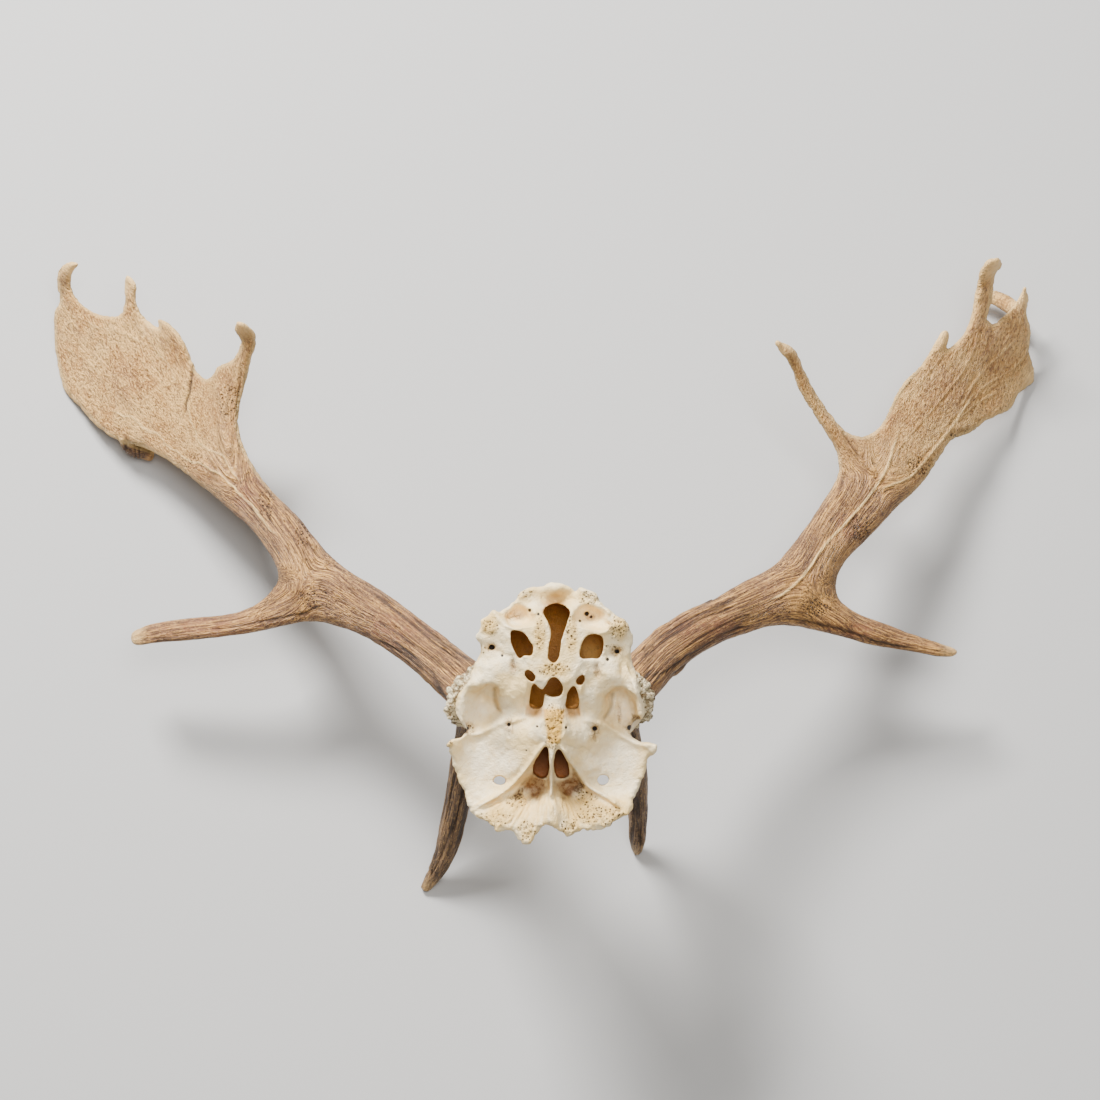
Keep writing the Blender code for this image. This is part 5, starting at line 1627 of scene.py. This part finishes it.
class StudioLook(bpy.types.PropertyGroup):
    """Floor and lights."""

    floor: FloatVectorProperty(
        name="Floor", description="Colour of the floor", subtype="COLOR", size=3, default=(0.45, 0.44, 0.425)
    )
    key_power: FloatProperty(
        name="Key light", description="Power of the key light", default=165.0, min=0.0, unit="POWER"
    )
    fill_power: FloatProperty(
        name="Fill light", description="Power of the fill light", default=48.0, min=0.0, unit="POWER"
    )
    sky: FloatProperty(
        name="Sky", description="Strength of the light from all round", default=0.24, min=0.0
    )


def dress(piece, finish):
    piece.data.materials.clear()
    piece.data.materials.append(finish)


def model_antler(spec, look):
    """One antler in the finish that both share."""
    antler = build_antler(spec, look.furrow_depth)
    dress(antler, bpy.data.materials.get(ANTLER_FINISH) or antler_finish(look))


class ANTLERS_OT_left_antler(bpy.types.Operator):
    """Model the left antler"""

    bl_idname = "antlers.left_antler"
    bl_label = "Left antler"

    def execute(self, context):
        model_antler(LEFT, context.scene.antler_look)
        return {"FINISHED"}


class ANTLERS_OT_right_antler(bpy.types.Operator):
    """Model the right antler"""

    bl_idname = "antlers.right_antler"
    bl_label = "Right antler"

    def execute(self, context):
        model_antler(RIGHT, context.scene.antler_look)
        return {"FINISHED"}


class ANTLERS_OT_skull_plate(bpy.types.Operator):
    """Model the sawn skull plate"""

    bl_idname = "antlers.skull_plate"
    bl_label = "Skull plate"

    def execute(self, context):
        dress(build_skull(), bone_finish(context.scene.bone_look))
        return {"FINISHED"}


def area_light(name, place, width, power):
    """A square soft light turned to the object's middle."""
    light = bpy.data.lights.new(name, "AREA")
    light.shape = "SQUARE"
    light.size = width
    light.energy = power
    obj = bpy.data.objects.new(name, light)
    bpy.context.scene.collection.objects.link(obj)
    obj.location = place
    obj.rotation_euler = (Vector(LIT_PLACE) - Vector(place)).to_track_quat("-Z", "Y").to_euler()


class ANTLERS_OT_studio(bpy.types.Operator):
    """Lay the floor and set the lights and the camera"""

    bl_idname = "antlers.studio"
    bl_label = "Studio"

    def execute(self, context):
        look = context.scene.studio_look
        bpy.ops.mesh.primitive_plane_add(size=FLOOR_WIDTH)
        floor = context.object
        floor.name = "floor"
        made = Finish("floor")
        made.use(Base_Color=rgba(look.floor), Roughness=FLOOR_ROUGHNESS)
        dress(floor, made.material)
        area_light("key", KEY_PLACE, KEY_WIDTH, look.key_power)
        area_light("fill", FILL_PLACE, FILL_WIDTH, look.fill_power)
        world = bpy.data.worlds.new("studio")
        world.use_nodes = True
        background = world.node_tree.nodes["Background"]
        background.inputs["Color"].default_value = WHITE
        background.inputs["Strength"].default_value = look.sky
        context.scene.world = world
        camera = bpy.data.objects.new("camera", bpy.data.cameras.new("camera"))
        context.scene.collection.objects.link(camera)
        camera.data.lens = camera.data.sensor_width * VIEW_DISTANCE / (FRAME_PIXELS * PIXEL)
        camera.matrix_world = skull_frame() @ Matrix.Translation((0, VIEW_Y * MM, VIEW_DISTANCE * MM))
        context.scene.camera = camera
        return {"FINISHED"}


class ANTLERS_PT_panel(bpy.types.Panel):
    """Buttons for each piece"""

    bl_label = "Fallow deer antlers"
    bl_idname = "ANTLERS_PT_panel"
    bl_space_type = "VIEW_3D"
    bl_region_type = "UI"
    bl_category = "Antlers"

    def draw(self, context):
        for operator in OPERATORS:
            self.layout.operator(operator.bl_idname)
        for look in (context.scene.antler_look, context.scene.bone_look, context.scene.studio_look):
            for name in look.bl_rna.properties.keys()[2:]:
                self.layout.prop(look, name)


LOOKS = {"antler_look": AntlerLook, "bone_look": BoneLook, "studio_look": StudioLook}
OPERATORS = (ANTLERS_OT_left_antler, ANTLERS_OT_right_antler, ANTLERS_OT_skull_plate, ANTLERS_OT_studio)


def register():
    for made in (*LOOKS.values(), *OPERATORS, ANTLERS_PT_panel):
        bpy.utils.register_class(made)
    for name, look in LOOKS.items():
        setattr(bpy.types.Scene, name, PointerProperty(type=look))


def unregister():
    for name in LOOKS:
        delattr(bpy.types.Scene, name)
    for made in reversed((*LOOKS.values(), *OPERATORS, ANTLERS_PT_panel)):
        bpy.utils.unregister_class(made)


def main():
    register()
    bpy.ops.antlers.left_antler()
    bpy.ops.antlers.right_antler()
    bpy.ops.antlers.skull_plate()
    bpy.ops.antlers.studio()
    bpy.context.view_layer.update()
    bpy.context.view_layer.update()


if __name__ == "__main__":
    main()
